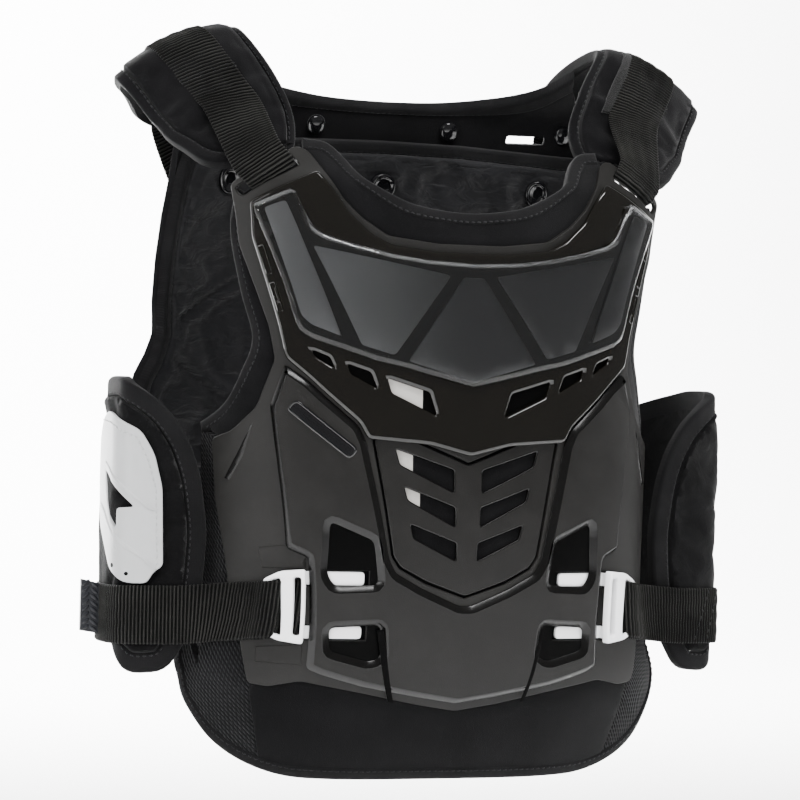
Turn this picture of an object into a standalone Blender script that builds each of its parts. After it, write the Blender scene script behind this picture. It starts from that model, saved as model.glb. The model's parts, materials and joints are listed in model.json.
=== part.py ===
# Motocross chest protector: plates front and back, padded liner, shoulder pads,
# flank pads and webbing. Metres, +Z up, front faces -Y, origin between the shoulder pads.
# Outline tables are drawn as parts: 336 to the chest width across, 518 to the vest height up.
import bpy
import bmesh
import math
import numpy as np
from mathutils import Vector
from mathutils.geometry import delaunay_2d_cdt

for thing in list(bpy.data.objects):
    bpy.data.objects.remove(thing, do_unlink=True)

chestWidth = 0.336
vestHeight = 0.518
webbingWidth = 0.038
webbingThick = 0.002
shellThick = 0.0033
plateThick = 0.003
linerThick = 0.0056
backPadThick = 0.011
shoulderPadThick = 0.010
flankPadThick = 0.011
guardThick = 0.0022
frameThick = 0.0052
lensThick = 0.002
insertThick = 0.0011
ventThick = 0.0025
seatGap = 0.0007        # left between two layers that lie on each other
clothGap = 0.0011       # the same where cloth lies against a plate or cloth
shoulderUp = 474.0      # drawn height of the underside of the shoulder pads
shoulderForward = 5.0   # drawn depth of the same place

# layers of the body, as distances out from the face of the chest shell
plateOut = -shellThick - seatGap
plateIn = plateOut - plateThick
linerOut = plateIn - 0.0009
linerIn = linerOut - linerThick
backPlateIn = linerOut + clothGap
padOut = linerIn - clothGap - 0.0003
padIn = padOut - backPadThick
bezelOut = 0.0005
insertOut = bezelOut + 0.0004 + insertThick
ventOut = plateOut - seatGap
frameIn = 0.0044 - frameThick

acrossUnit = chestWidth / 336
upUnit = vestHeight / 518
mm = 0.001

# body sections: drawn height, half width, front depth, back half width, back depth
bodySections = [
    (-20, 166, 76, 190, 100), (20, 177, 98, 198, 103), (60, 184, 112, 205, 108),
    (100, 174, 119, 206, 112), (140, 169, 123, 206, 115), (170, 168, 124, 206, 116),
    (220, 169, 122, 205, 116), (255, 170, 121, 202, 114), (285, 171, 120, 194, 112),
    (345, 177, 117, 187, 103), (372, 181, 116, 184, 97), (391, 185, 112, 183, 92),
    (414, 187, 93, 182, 87), (438, 189, 76, 180, 81), (463, 190, 60, 178, 70),
    (475, 190, 52, 176, 52), (487, 190, 44, 175, 28), (495, 190, 40, 175, 14)]
frontPower, backPower, flankPower = 2.4, 3.4, 3.4
padCamber = 9.0
flankClear = 9.0  # from the widest back section out to the wrap of the flanks
flankHalf = max(row[3] for row in bodySections) + flankClear
flankCenter, flankFront, flankBack = 30.0, 35.0, 128.0

# inner edge of a shoulder pad over the top: across, forward, up, and the fall line of its width
shoulderLine = [
    (105, 60, 401, 0.94, 0.10, -0.30), (99, 48, 416, 0.955, 0.04, -0.25), (97.5, 39, 431, 0.975, -0.02, -0.20),
    (109, 30, 461, 0.93, -0.09, -0.33), (130, 9, 494, 0.905, -0.085, -0.415), (127, -22, 491, 0.91, -0.02, -0.40),
    (119, -52, 477, 0.925, 0.05, -0.37), (111, -78, 452, 0.93, 0.10, -0.35), (108, -90, 428, 0.93, 0.16, -0.33),
    (108, -94, 414, 0.93, 0.18, -0.32)]

columns = [np.array(c, float) for c in zip(*bodySections)]


def material(name, color, rough, metal=0.0, clear=0.0):
    mat = bpy.data.materials.new(name)
    mat.use_nodes = True
    shader = mat.node_tree.nodes["Principled BSDF"]
    shader.inputs["Base Color"].default_value = (*color, 1)
    shader.inputs["Roughness"].default_value = rough
    shader.inputs["Metallic"].default_value = metal
    shader.inputs["Transmission Weight"].default_value = clear
    return mat


def smoothTable(xs, ys, at):
    """Piecewise cubic through the table, flat tangents averaged from neighbours."""
    slopes = np.gradient(ys, xs)
    i = np.clip(np.searchsorted(xs, at) - 1, 0, len(xs) - 2)
    h = xs[i + 1] - xs[i]
    t = (np.clip(at, xs[0], xs[-1]) - xs[i]) / h
    return ((2 * t**3 - 3 * t**2 + 1) * ys[i] + (t**3 - 2 * t**2 + t) * h * slopes[i]
            + (3 * t**2 - 2 * t**3) * ys[i + 1] + (t**3 - t**2) * h * slopes[i + 1])


class Section:
    """Arc position along a reference oval, as an angle from straight ahead."""

    def __init__(self, half, depth, power):
        self.power, self.half, self.depth = power, half, depth
        self.angles = np.linspace(0, math.pi / 2, 901)
        x, f = self.at(self.angles, half, depth)
        steps = np.hypot(np.diff(x), np.diff(f))
        self.arcs = np.concatenate([[0], np.cumsum(steps)])
        self.xs = x

    def at(self, angle, half, depth):
        s, c = np.abs(np.sin(angle)), np.abs(np.cos(angle))
        r = ((s / half) ** self.power + (c / depth) ** self.power) ** (-1 / self.power)
        return r * np.sin(angle), r * np.cos(angle)

    def angle(self, arc):
        return np.interp(arc, self.arcs, self.angles)

    def arc(self, x):
        return np.interp(x, self.xs, self.arcs)


frontSection = Section(168, 122, frontPower)
backSection = Section(176, 112, backPower)
flankFrontSection = Section(flankHalf, flankFront, flankPower)
flankBackSection = Section(flankHalf, flankBack, 2.6)


def place(x, f, h):
    return np.stack([x * acrossUnit, (shoulderForward - f) * acrossUnit, (h - shoulderUp) * upUnit], axis=-1)


def withNormal(surface, u, v, off):
    """Point on a surface moved out along its normal by off (metres)."""
    e = 0.4
    p = surface(u, v)
    du = surface(u + e, v) - surface(u - e, v)
    dv = surface(u, v + e) - surface(u, v - e)
    n = np.cross(du, dv)
    n /= np.linalg.norm(n, axis=-1, keepdims=True)
    return p + n * np.asarray(off)[..., None]


def bodySurface(facing):
    section = frontSection if facing > 0 else backSection
    halves, depths = (columns[1], columns[2]) if facing > 0 else (columns[3], columns[4])

    def surface(u, v):
        over = np.maximum(np.abs(u) - section.arcs[-1], 0)
        x, f = section.at(section.angle(np.abs(u)), section.half, section.depth)
        wide = smoothTable(columns[0], halves, v) / section.half
        deep = smoothTable(columns[0], depths, v) / section.depth
        return place(np.sign(u) * x * wide, facing * (f * deep - over), v)
    return surface


def flankSurface(side):
    front, back = flankFrontSection, flankBackSection
    quarter = front.arcs[-1]

    def surface(u, v):
        aFront = front.angle(np.minimum(u, quarter))
        aBack = back.angle(np.maximum(back.arcs[-1] - np.maximum(u - quarter, 0), 0))
        xf, ff = front.at(aFront, flankHalf, flankFront)
        xb, fb = back.at(aBack, flankHalf, flankBack)
        x = np.where(u <= quarter, xf, xb)
        f = np.where(u <= quarter, ff, -fb)
        return place(side * x, f + flankCenter, v)
    return surface


def shoulderSurface(side):
    table = [np.array(c, float) for c in zip(*shoulderLine)]
    knots = np.concatenate([[0], np.cumsum(np.sqrt(sum(np.diff(table[k]) ** 2 for k in range(3))))])
    knots -= knots[4]

    def surface(s, w):
        x, f, h, cx, cf, ch = [smoothTable(knots, column, s) for column in table]
        beyond = np.abs(s - np.clip(s, knots[0], knots[-1]))
        swell = padCamber * (1 - np.clip((w - 46) / 46, -1.3, 1.3) ** 2)
        run = [smoothTable(knots, np.gradient(table[k], knots), s) for k in (1, 2)]
        size = np.hypot(*run)
        return place(side * (x + w * cx), f + w * cf + swell * run[1] / size,
                     h + w * ch - swell * run[0] / size - beyond)
    return surface


def outward(surface, sign):
    return lambda u, v, off: withNormal(surface, np.asarray(u, float), np.asarray(v, float), sign * off)


frontMap = outward(bodySurface(1), 1)
backMap = outward(bodySurface(-1), -1)


def bendLines(points, degrees):
    d = np.diff(points, axis=0)
    heading = np.unwrap(np.arctan2(d[:, 1], d[:, 0]))
    total = np.concatenate([[0], np.cumsum(np.abs(np.diff(heading)))])
    marks = np.arange(math.radians(degrees), total[-1], math.radians(degrees))
    return np.interp(marks, total, np.arange(len(total)))


def sectionLines(section, half, depth, degrees, widest=27.0):
    x, f = section.at(section.angles, half, depth)
    at = bendLines(np.stack([x, f], axis=1), degrees)
    arcs = list(np.interp(at, np.arange(len(section.arcs)), section.arcs))
    done = [0.0]
    for arc in arcs + [section.arcs[-1]]:
        gap = arc - done[-1]
        parts = max(1, math.ceil(gap / widest))
        done += [done[-1] + gap * (k + 1) / parts for k in range(parts)]
    return [0.0] + [a for arc in done[1:] for a in (arc, -arc)]


frontLines = sectionLines(frontSection, 168, 122, 11)
backLines = sectionLines(backSection, 176, 112, 18, 50.0)
flankLines = sorted({abs(a) for a in sectionLines(flankFrontSection, flankHalf, flankFront, 15)})
flankLines += [flankFrontSection.arcs[-1] + step for step in (22, 44, 64, 84, 104, 124)]
frontUpLines = [40, 110, 180, 250, 320, 372, 391, 405]
backUpLines = [60, 150, 240, 320, 380, 415, 440, 458, 470, 480]
archLines = [-88, -66, -46, -28, -10, 6, 26, 48, 70, 90]


def inside(point, ring):
    x, y = point
    hit = False
    for (x0, y0), (x1, y1) in zip(ring, ring[1:] + ring[:1]):
        if (y0 > y) != (y1 > y) and x < (x1 - x0) * (y - y0) / (y1 - y0) + x0:
            hit = not hit
    return hit


def newObject(name, verts, faces, mat):
    mesh = bpy.data.meshes.new(name)
    mesh.from_pydata([tuple(v) for v in verts], [], faces)
    mesh.validate()
    bm = bmesh.new()
    bm.from_mesh(mesh)
    bmesh.ops.recalc_face_normals(bm, faces=bm.faces)
    bm.to_mesh(mesh)
    bm.free()
    obj = bpy.data.objects.new(name, mesh)
    bpy.context.scene.collection.objects.link(obj)
    mesh.materials.append(mat)
    return obj


def panel(name, rings, inner, outer, mapper, cuts, mat):
    """Closed sheet between two offsets (metres) inside the first ring and outside the others."""
    verts, edges = [], []
    for ring in rings:
        start = len(verts)
        verts += [Vector(p) for p in ring]
        edges += [(start + i, start + (i + 1) % len(ring)) for i in range(len(ring))]
    us = [p[0] for p in rings[0]]
    vs = [p[1] for p in rings[0]]
    for u in cuts[0]:
        if min(us) + 0.5 < u < max(us) - 0.5:
            verts += [Vector((u, min(vs) - 1)), Vector((u, max(vs) + 1))]
            edges.append((len(verts) - 2, len(verts) - 1))
    for v in cuts[1]:
        if min(vs) + 0.5 < v < max(vs) - 0.5:
            verts += [Vector((min(us) - 1, v)), Vector((max(us) + 1, v))]
            edges.append((len(verts) - 2, len(verts) - 1))
    flat, _, tris, *_ = delaunay_2d_cdt(verts, edges, [], 0, 0.02)
    kept = []
    for tri in tris:
        a, b, c = (flat[i] for i in tri)
        middle = (a + b + c) / 3
        if abs((b - a).cross(c - a)) < 1e-4:
            continue
        if inside(middle, [tuple(p) for p in rings[0]]) and not any(
                inside(middle, [tuple(p) for p in ring]) for ring in rings[1:]):
            kept.append(tuple(tri))
    used = sorted({i for tri in kept for i in tri})
    order = {old: new for new, old in enumerate(used)}
    kept = [tuple(order[i] for i in tri) for tri in kept]
    u = np.array([flat[i][0] for i in used])
    v = np.array([flat[i][1] for i in used])
    count = len(used)
    points = np.concatenate([mapper(u, v, np.full(count, outer)), mapper(u, v, np.full(count, inner))])
    sides = {}
    for tri in kept:
        for i in range(3):
            edge = (tri[i], tri[(i + 1) % 3])
            if (edge[1], edge[0]) in sides:
                del sides[(edge[1], edge[0])]
            else:
                sides[edge] = True
    faces = list(kept) + [tuple(i + count for i in reversed(tri)) for tri in kept]
    for a, b in sides:
        faces += [(b, a, a + count), (b, a + count, b + count)]
    return newObject(name, points, faces, mat)


def frontArc(ring):
    """Across values seen from the front become arc positions; near the side they run on round it."""
    return bodyArc(ring, frontSection, columns[1])


def backArc(ring):
    return bodyArc(ring, backSection, columns[3])


def bodyArc(ring, section, halves):
    last = section.half * 0.98
    done = []
    for x, h in ring:
        size = abs(x) * section.half / float(smoothTable(columns[0], halves, np.array([float(h)]))[0])
        arc = section.arc(size) if size <= last else section.arc(last) + size - last
        done.append((math.copysign(float(arc), x), h))
    return done


def bothSides(half):
    """Half outline from the centre line round to the centre line, closed by its mirror image."""
    other = [(-x, h) for x, h in reversed(half) if abs(x) > 1e-6]
    return list(half) + other


def mirrored(ring):
    return [(-x, h) for x, h in reversed(ring)]


def shifted(path, distance, closed=False):
    """Path moved to its left by distance, mitred at the corners."""
    count = len(path)
    moved = []
    for i in range(count):
        here = Vector(path[i])
        before = Vector(path[i - 1]) if closed or i > 0 else None
        after = Vector(path[(i + 1) % count]) if closed or i < count - 1 else None
        lanes = []
        if before is not None:
            lanes.append((here - before).normalized())
        if after is not None:
            lanes.append((after - here).normalized())
        normals = [Vector((-d.y, d.x)) for d in lanes]
        bend = sum(normals, Vector((0, 0)))
        bend.normalize()
        reach = distance / max(0.5, bend.dot(normals[0]))
        moved.append(tuple(here + bend * reach))
    return moved


def tapeRing(path, width):
    return list(path) + list(reversed(shifted(path, width)))


def rounded(ring, radius, steps=3):
    """Corners of a ring eased by short arcs."""
    done = []
    count = len(ring)
    for i in range(count):
        here, before, after = Vector(ring[i]), Vector(ring[i - 1]), Vector(ring[(i + 1) % count])
        reach = min(radius, 0.45 * (here - before).length, 0.45 * (after - here).length)
        start = here + (before - here).normalized() * reach
        end = here + (after - here).normalized() * reach
        for k in range(steps + 1):
            t = k / steps
            done.append(tuple(start * (1 - t) ** 2 + here * 2 * t * (1 - t) + end * t * t))
    return done


def tiltedSlot(center, along, length, width):
    d = Vector(along).normalized()
    n = Vector((-d.y, d.x))
    c = Vector(center)
    corners = [c - d * length / 2 - n * width / 2, c + d * length / 2 - n * width / 2,
               c + d * length / 2 + n * width / 2, c - d * length / 2 + n * width / 2]
    return rounded([tuple(p) for p in corners], width * 0.4, 2)


def webbing(name, stations, mat, ways=3):
    """Flat band: each station is a mapper, centre, width direction and offset on that surface."""
    verts = []
    half = webbingWidth / mm / 2
    corners = [(k / ways * 2 - 1, -1) for k in range(ways + 1)] + [(1 - k / ways * 2, 1) for k in range(ways + 1)]
    for mapper, u, v, du, dv, off in stations:
        for side, lift in corners:
            verts.append(mapper(np.array([u + side * du * half]), np.array([v + side * dv * half]),
                                np.array([off + lift * webbingThick / 2]))[0])
    ring = len(corners)
    faces = []
    for start, turn in ((0, 1), (len(verts) - ring, -1)):
        for k in range(ways):
            a, b, c, d = start + k, start + k + 1, start + ring - 2 - k, start + ring - 1 - k
            faces.append((a, b, c, d)[::turn])
    for k in range(len(stations) - 1):
        for i in range(ring):
            a, b = ring * k + i, ring * k + (i + 1) % ring
            faces.append((a, a + ring, b + ring, b))
    return newObject(name, verts, faces, mat)


def fused(body, extra):
    """One closed body from overlapping ones."""
    for other in extra:
        join = body.modifiers.new("join", "BOOLEAN")
        join.operation = "UNION"
        join.solver = "EXACT"
        join.object = other
        graph = bpy.context.evaluated_depsgraph_get()
        mesh = bpy.data.meshes.new_from_object(body.evaluated_get(graph))
        body.modifiers.clear()
        body.data = mesh
        bpy.data.objects.remove(other, do_unlink=True)
    return body


def dome(name, mapper, u, v, base, height, radius, mat, hole=0.0):
    """Round button standing on a surface; with a hole it is a ring."""
    count = 10
    rims = [(radius, 0.0), (radius, 0.45), (radius * 0.72, 0.9)]
    rims += [(hole, 0.9), (hole, 0.0)] if hole else [(radius * 0.3, 1.0)]
    verts = []
    for r, lift in rims:
        for k in range(count):
            a = 2 * math.pi * k / count
            verts.append(mapper(np.array([u + r * math.cos(a)]), np.array([v + r * math.sin(a)]),
                                np.array([base + height * lift]))[0])
    rows = len(rims)
    faces = []
    for row in range(rows if hole else rows - 1):
        for k in range(count):
            a, b = row * count + k, row * count + (k + 1) % count
            c, d = (b + count) % (rows * count), (a + count) % (rows * count)
            faces.append((a, b, c, d))
    if not hole:
        faces += [tuple(range(count)), tuple((rows - 1) * count + k for k in range(count))]
    return newObject(name, verts, faces, mat)


grayPlastic = material("grained dark plastic", (0.035, 0.033, 0.031), 0.55)
rimPlastic = material("matte rim plastic", (0.05, 0.048, 0.046), 0.6)
glossPlastic = material("gloss black plastic", (0.006, 0.006, 0.007), 0.12)
clearPlastic = material("clear plastic", (0.85, 0.87, 0.88), 0.05, clear=0.9)
insertPlastic = material("gray insert", (0.07, 0.07, 0.075), 0.4)
whitePlastic = material("white plastic", (0.82, 0.83, 0.84), 0.35)
neoprene = material("neoprene", (0.022, 0.022, 0.025), 0.9)
tapeCloth = material("binding tape", (0.014, 0.014, 0.016), 0.8)
netCloth = material("spacer mesh", (0.02, 0.02, 0.022), 0.85)
satinCloth = material("satin lining", (0.012, 0.012, 0.014), 0.6)
suedeCloth = material("flank cloth", (0.012, 0.012, 0.013), 0.9)
webCloth = material("webbing", (0.018, 0.018, 0.017), 0.75)
rubberBlack = material("black rubber", (0.02, 0.021, 0.024), 0.6)
buttonGloss = material("button", (0.008, 0.008, 0.009), 0.15)

front = (frontLines, frontUpLines)
back = (backLines, backUpLines)


def openPath(half):
    """Mirror an open half path that starts on the centre line into one path right to left."""
    return [(-x, h) for x, h in reversed(half)] + [p for p in half if abs(p[0]) > 1e-6]


# front liner: neck, shoulder, armhole, side and hem, one half from the neck centre down
neckEdge = [(0, 371), (20, 372.5), (40, 376), (57, 384), (73, 397.5), (82, 411), (91, 419), (106, 421)]
armEdge = [(153, 381), (156, 366), (156, 352), (149, 314), (142, 283), (147, 265), (156, 242), (166, 229)]
hemEdge = [(178, 64), (175, 48), (168, 34), (158, 20.5), (144, 9), (125, -0.5), (105, -6), (80, -8), (0, -8.5)]
tape, seam = 8.5, 1.0
neckPath = frontArc(openPath(neckEdge))
hemPath = frontArc(openPath(hemEdge[::-1]))
armPath = frontArc(armEdge)
linerNeck = shifted(neckPath, -tape - seam)
linerArm = shifted(armPath, -tape - seam)
linerHem = shifted(hemPath, tape + seam)
meshLine = frontArc([(156, 217), (150, 150), (146, 124), (137, 62), (127, 13)])
linerHalf = [(0.0, linerNeck[len(linerNeck) // 2][1])] + [p for p in linerNeck if p[0] > 0.01]
linerHalf += frontArc([(113, 404)]) + linerArm[:-1]
linerHalf += [meshLine[0]] + [(p[0] - 0.3, p[1]) for p in meshLine[1:-1]]
linerHalf += [p for p in reversed(linerHem) if 0.01 < p[0] < meshLine[-1][0] - 0.5]
linerHalf += [(0.0, linerHem[len(linerHem) // 2][1])]
panel("front_liner", [bothSides(linerHalf)], linerIn, linerOut, frontMap, front, neoprene)
meshHalf = [(p[0] + 0.5, p[1]) for p in meshLine] + [p for p in linerHem if p[0] > meshLine[-1][0] + 0.7]
meshHalf += frontArc([(168, 70), (168, 150)]) + [linerArm[-1]]
for side, tag in ((-1, "right"), (1, "left")):
    ring = meshHalf if side > 0 else mirrored(meshHalf)
    panel("side_mesh_" + tag, [ring], linerIn + 0.0005, linerOut - 0.0005, frontMap, front, netCloth)
    ring = tapeRing(armPath, -tape)
    ring = ring if side > 0 else mirrored(ring)
    panel("arm_tape_" + tag, [ring], linerIn - 0.001, linerOut + 0.0002, frontMap, front, tapeCloth)
panel("neck_tape", [tapeRing(neckPath, -tape)], linerIn - 0.001, linerOut + 0.001, frontMap, front, tapeCloth)
panel("hem_tape", [tapeRing(hemPath, tape)], linerIn - 0.001, linerOut + 0.001, frontMap, front, tapeCloth)

# front plate, one half from the neck centre down
tabTop = [(110, 413), (115, 412)]
plateHalf = [(0, 349), (23, 349), (57, 353), (74, 364), (87, 377), (98, 398), (104, 410)] + tabTop + [
    (153, 387), (155, 383), (149, 345), (131, 293), (127, 271), (137, 240), (150, 224), (159, 219),
    (157, 180), (150, 125), (142, 80), (138, 60), (126, 58), (106, 62), (64, 54), (28, 46.5), (0, 42)]
strapSlot = tiltedSlot((132.5, 391.5), (40, -27), 45, 7.8)
wellRing = bothSides([(0, 207), (50, 227), (66.5, 224), (52, 145), (46.5, 137), (28, 127), (0, 117.5)])
latchSlots = [[(66, lo), (109.5, lo), (109.5, hi), (66, hi)] for lo, hi in ((124.8, 135.2), (89.8, 99.6))]
plateRings = [frontArc(bothSides(plateHalf)), frontArc(wellRing)]
for ring in [strapSlot] + latchSlots:
    plateRings += [frontArc(ring), frontArc(mirrored(ring))]
panel("front_plate", plateRings, plateIn, plateOut, frontMap, front, rimPlastic)

# raised chest shell with its four windows and the cut for the sunk panel
shellHalf = [(0, 112.8), (4.5, 113), (30, 124), (48.5, 134), (53.5, 143), (70, 219), (75, 229.5), (96, 247.5),
             (107, 258), (121, 268), (129, 241), (118, 149), (104.6, 143), (103, 71), (94, 67), (66, 59),
             (28, 52), (0, 47.5)]
windowUpper = rounded([(92, 167), (93, 133), (88, 125), (60, 126.5), (64, 155)], 4, 2)
windowLower = rounded([(90, 98), (89, 83), (63, 76), (55.5, 79), (57, 100)], 4, 2)
shellRings = [frontArc(bothSides(shellHalf))]
for ring in (windowUpper, windowLower):
    shellRings += [frontArc(ring), frontArc(mirrored(ring))]
panel("chest_shell", shellRings, -shellThick, 0.0, frontMap, front, grayPlastic)

# sunk vent panel with three pairs of chevron slots
ventHalf = [(0, 205.5), (49, 225), (64.6, 221.2), (50.5, 145), (45.5, 138), (27, 128.5), (0, 119)]
chevrons = [[(50, 215), (10, 202), (10, 187.5), (47, 205)], [(44, 190.5), (9, 177.5), (9, 165), (41.5, 182)],
            [(39.5, 166), (7.5, 154), (7.5, 142.5), (37, 157)]]
ventRings = [frontArc(bothSides(ventHalf))]
for ring in chevrons:
    ventRings += [frontArc(ring), frontArc(mirrored(ring))]
panel("vent_panel", ventRings, ventOut - ventThick, ventOut, frontMap, front, grayPlastic)

# gloss bezel and its vents, with the clear lens and five gray inserts on it
bezelHalf = [(0, 343.5), (25, 343.5), (55, 347), (69, 354), (83, 367), (92, 381), (102, 395),
             (143, 373.5), (141, 350), (124.5, 293), (120, 272), (106, 259.5), (95, 249), (74.5, 231), (69, 221),
             (28, 218), (0, 211)]
bezelVents = [[(24, 237), (29, 252), (57, 260.5), (54, 251)], [(64, 254), (68, 264), (83, 269), (81, 263)],
              [(91, 266.5), (94, 273), (105, 277.5), (103, 274)]]
lensHalf = [(0, 336), (31, 337.5), (56, 341), (80, 346.5), (98, 352), (105, 356.5), (111, 368), (117, 380.5),
            (120, 381), (140, 371.5), (139, 366), (122, 322), (115, 298), (112, 290), (105, 285), (86, 278.5),
            (65, 271.5), (44, 267), (29, 263), (0, 256)]
bezelRings = [frontArc(bothSides(bezelHalf))]
for ring in bezelVents:
    bezelRings += [frontArc(ring), frontArc(mirrored(ring))]
panel("chest_bezel", bezelRings, -shellThick, bezelOut, frontMap, front, glossPlastic)
panel("chest_lens", [frontArc(bothSides(lensHalf))], insertOut + seatGap,
      insertOut + seatGap + lensThick, frontMap, front, clearPlastic)
narrowInsert = [(122, 374), (134, 369), (118, 323), (111, 300), (105, 294), (87, 287)]
largeInsert = [(105, 345), (16, 328), (53, 275.5), (74, 281.5)]
for side, tag in ((-1, "right"), (1, "left")):
    for ring, label in ((narrowInsert, "outer"), (largeInsert, "inner")):
        ring = ring if side > 0 else mirrored(ring)
        panel("lens_insert_%s_%s" % (label, tag), [frontArc(ring)], insertOut - insertThick, insertOut, frontMap,
              front, insertPlastic)
centerInsert = bothSides([(0, 327), (7, 327), (44, 272), (0, 259)])
panel("lens_insert_center", [frontArc(centerInsert)], insertOut - insertThick, insertOut, frontMap, front,
      insertPlastic)
badge = tiltedSlot((-97, 226.5), (40, -33), 50, 9)
panel("oval_badge", [frontArc(badge)], 0.0004, 0.0014, frontMap, front, buttonGloss)

# back: plain plate, liner with collar, inner pad
backPlateHalf = [(0, 392), (60, 394), (92, 402)] + tabTop + [
    (153, 387), (155, 383), (150, 345), (143, 300), (140, 271), (148, 236), (150, 180), (144, 100), (130, 76),
    (64, 62), (0, 58)]
backPlateRings = [backArc(bothSides(backPlateHalf)), backArc(strapSlot), backArc(mirrored(strapSlot))]
panel("back_plate", backPlateRings, backPlateIn, backPlateIn + plateThick, backMap, back, grayPlastic)
collarEdge = [(0, 461), (40, 462.5), (75, 467), (96, 471), (111, 476), (126, 487)]
collarPath = backArc(openPath(collarEdge))
collarInner = shifted(collarPath, -10.6 - seam)
backLinerHalf = [(0, collarInner[len(collarInner) // 2][1])] + [p for p in collarInner if p[0] > 0.01]
backLinerHalf += backArc([(141, 468), (152, 450), (159, 422), (162, 398), (167, 370), (169, 340), (169, 312),
                          (166, 290), (172, 275), (180, 262), (184, 240), (184, 100), (166, 72), (110, 60), (0, 54)])
collarSlot = [(95, 434.5), (124, 434.5), (124, 440), (95, 440)]
backLinerRings = [bothSides(backLinerHalf), backArc(collarSlot), backArc(mirrored(collarSlot))]
panel("back_liner", backLinerRings, linerIn, linerOut, backMap, back, neoprene)
panel("collar_tape", [tapeRing(collarPath, -10)], linerIn - 0.001, linerOut + 0.001, backMap, back, tapeCloth)
padEdge = [(0, 433), (60, 432), (104, 429), (152, 425), (164, 398), (171, 368), (173, 340), (173, 312), (170, 290),
           (176, 272), (184, 260), (188, 240), (188, 100), (168, 70), (110, 58), (0, 52)]
padRing = backArc(bothSides(padEdge))
panel("back_pad", [shifted(padRing, -10 - seam, True)], padIn, padOut, backMap, back, satinCloth)
panel("back_pad_tape", [padRing, shifted(padRing, -10, True)], padIn + 0.003, padOut, backMap, back, tapeCloth)
for x, tag in ((-137, "far_right"), (-50, "right"), (50, "left"), (137, "far_left")):
    arc = backArc([(x, 441)])[0]
    dome("snap_" + tag, backMap, arc[0], arc[1], padOut, -0.004, 5.5, buttonGloss)
for x, up, tag in ((-120, 401, "right"), (0, 402, "middle"), (120, 401, "left")):
    arc = backArc([(x, up)])[0]
    dome("grommet_" + tag, backMap, arc[0], arc[1], padIn - 0.0009, -0.003, 9.5, buttonGloss, 3.4)

# shoulders: pad, its edge tape, webbing over it
padOutline = [(-104, 2), (-60, 0), (0, 0), (60, 0), (112, 2), (112, 54), (92, 74), (44, 88), (0, 92), (-42, 94),
              (-74, 92), (-96, 72), (-104, 54)]
for side, tag in ((-1, "right"), (1, "left")):
    mapper = outward(shoulderSurface(side), -side)
    panel("shoulder_pad_" + tag, [shifted(padOutline, 7 + seam, True)], -shoulderPadThick, 0.0, mapper,
          (archLines, [26, 46, 66]), neoprene)
    panel("shoulder_tape_" + tag, [padOutline, shifted(padOutline, 7, True)], -0.0085, -0.0015, mapper,
          (archLines, [46]), tapeCloth)
    ends = []
    for bodyMap, toArc, seat in ((frontMap, frontArc, 0.0), (backMap, backArc, 1.0)):
        run = []
        for reach, off in ((8.6, -6.3), (7.0, -4.6), (5.4, -2.9), (3.4, -2.4), (0.0, -2.3), (-4.0, -1.4)):
            x, h = 135 - 0.56 * reach, 399.5 - 0.829 * reach
            arc = toArc([(x, h)])[0][0]
            spread = (toArc([(x + 5, h)])[0][0] - toArc([(x - 5, h)])[0][0]) / 10
            run.append((bodyMap, side * arc, h, side * 0.829 * spread, -0.56, (off + seat) * mm))
        ends.append(run)
    over = []
    for s, w in ((-60, 44), (-46, 45), (-28, 46), (-10, 46), (6, 46), (26, 46), (48, 45), (70, 42), (90, 39),
                 (104, 37), (115, 36)):
        lift = 1.7 + max(0, -s - 50) * 0.2 + max(0, s - 80) * 0.05
        over.append((mapper, s, w, 0.0, 1.0, lift * mm))
    webbing("shoulder_strap_" + tag, ends[0] + over + ends[1][::-1], webCloth)

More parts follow.
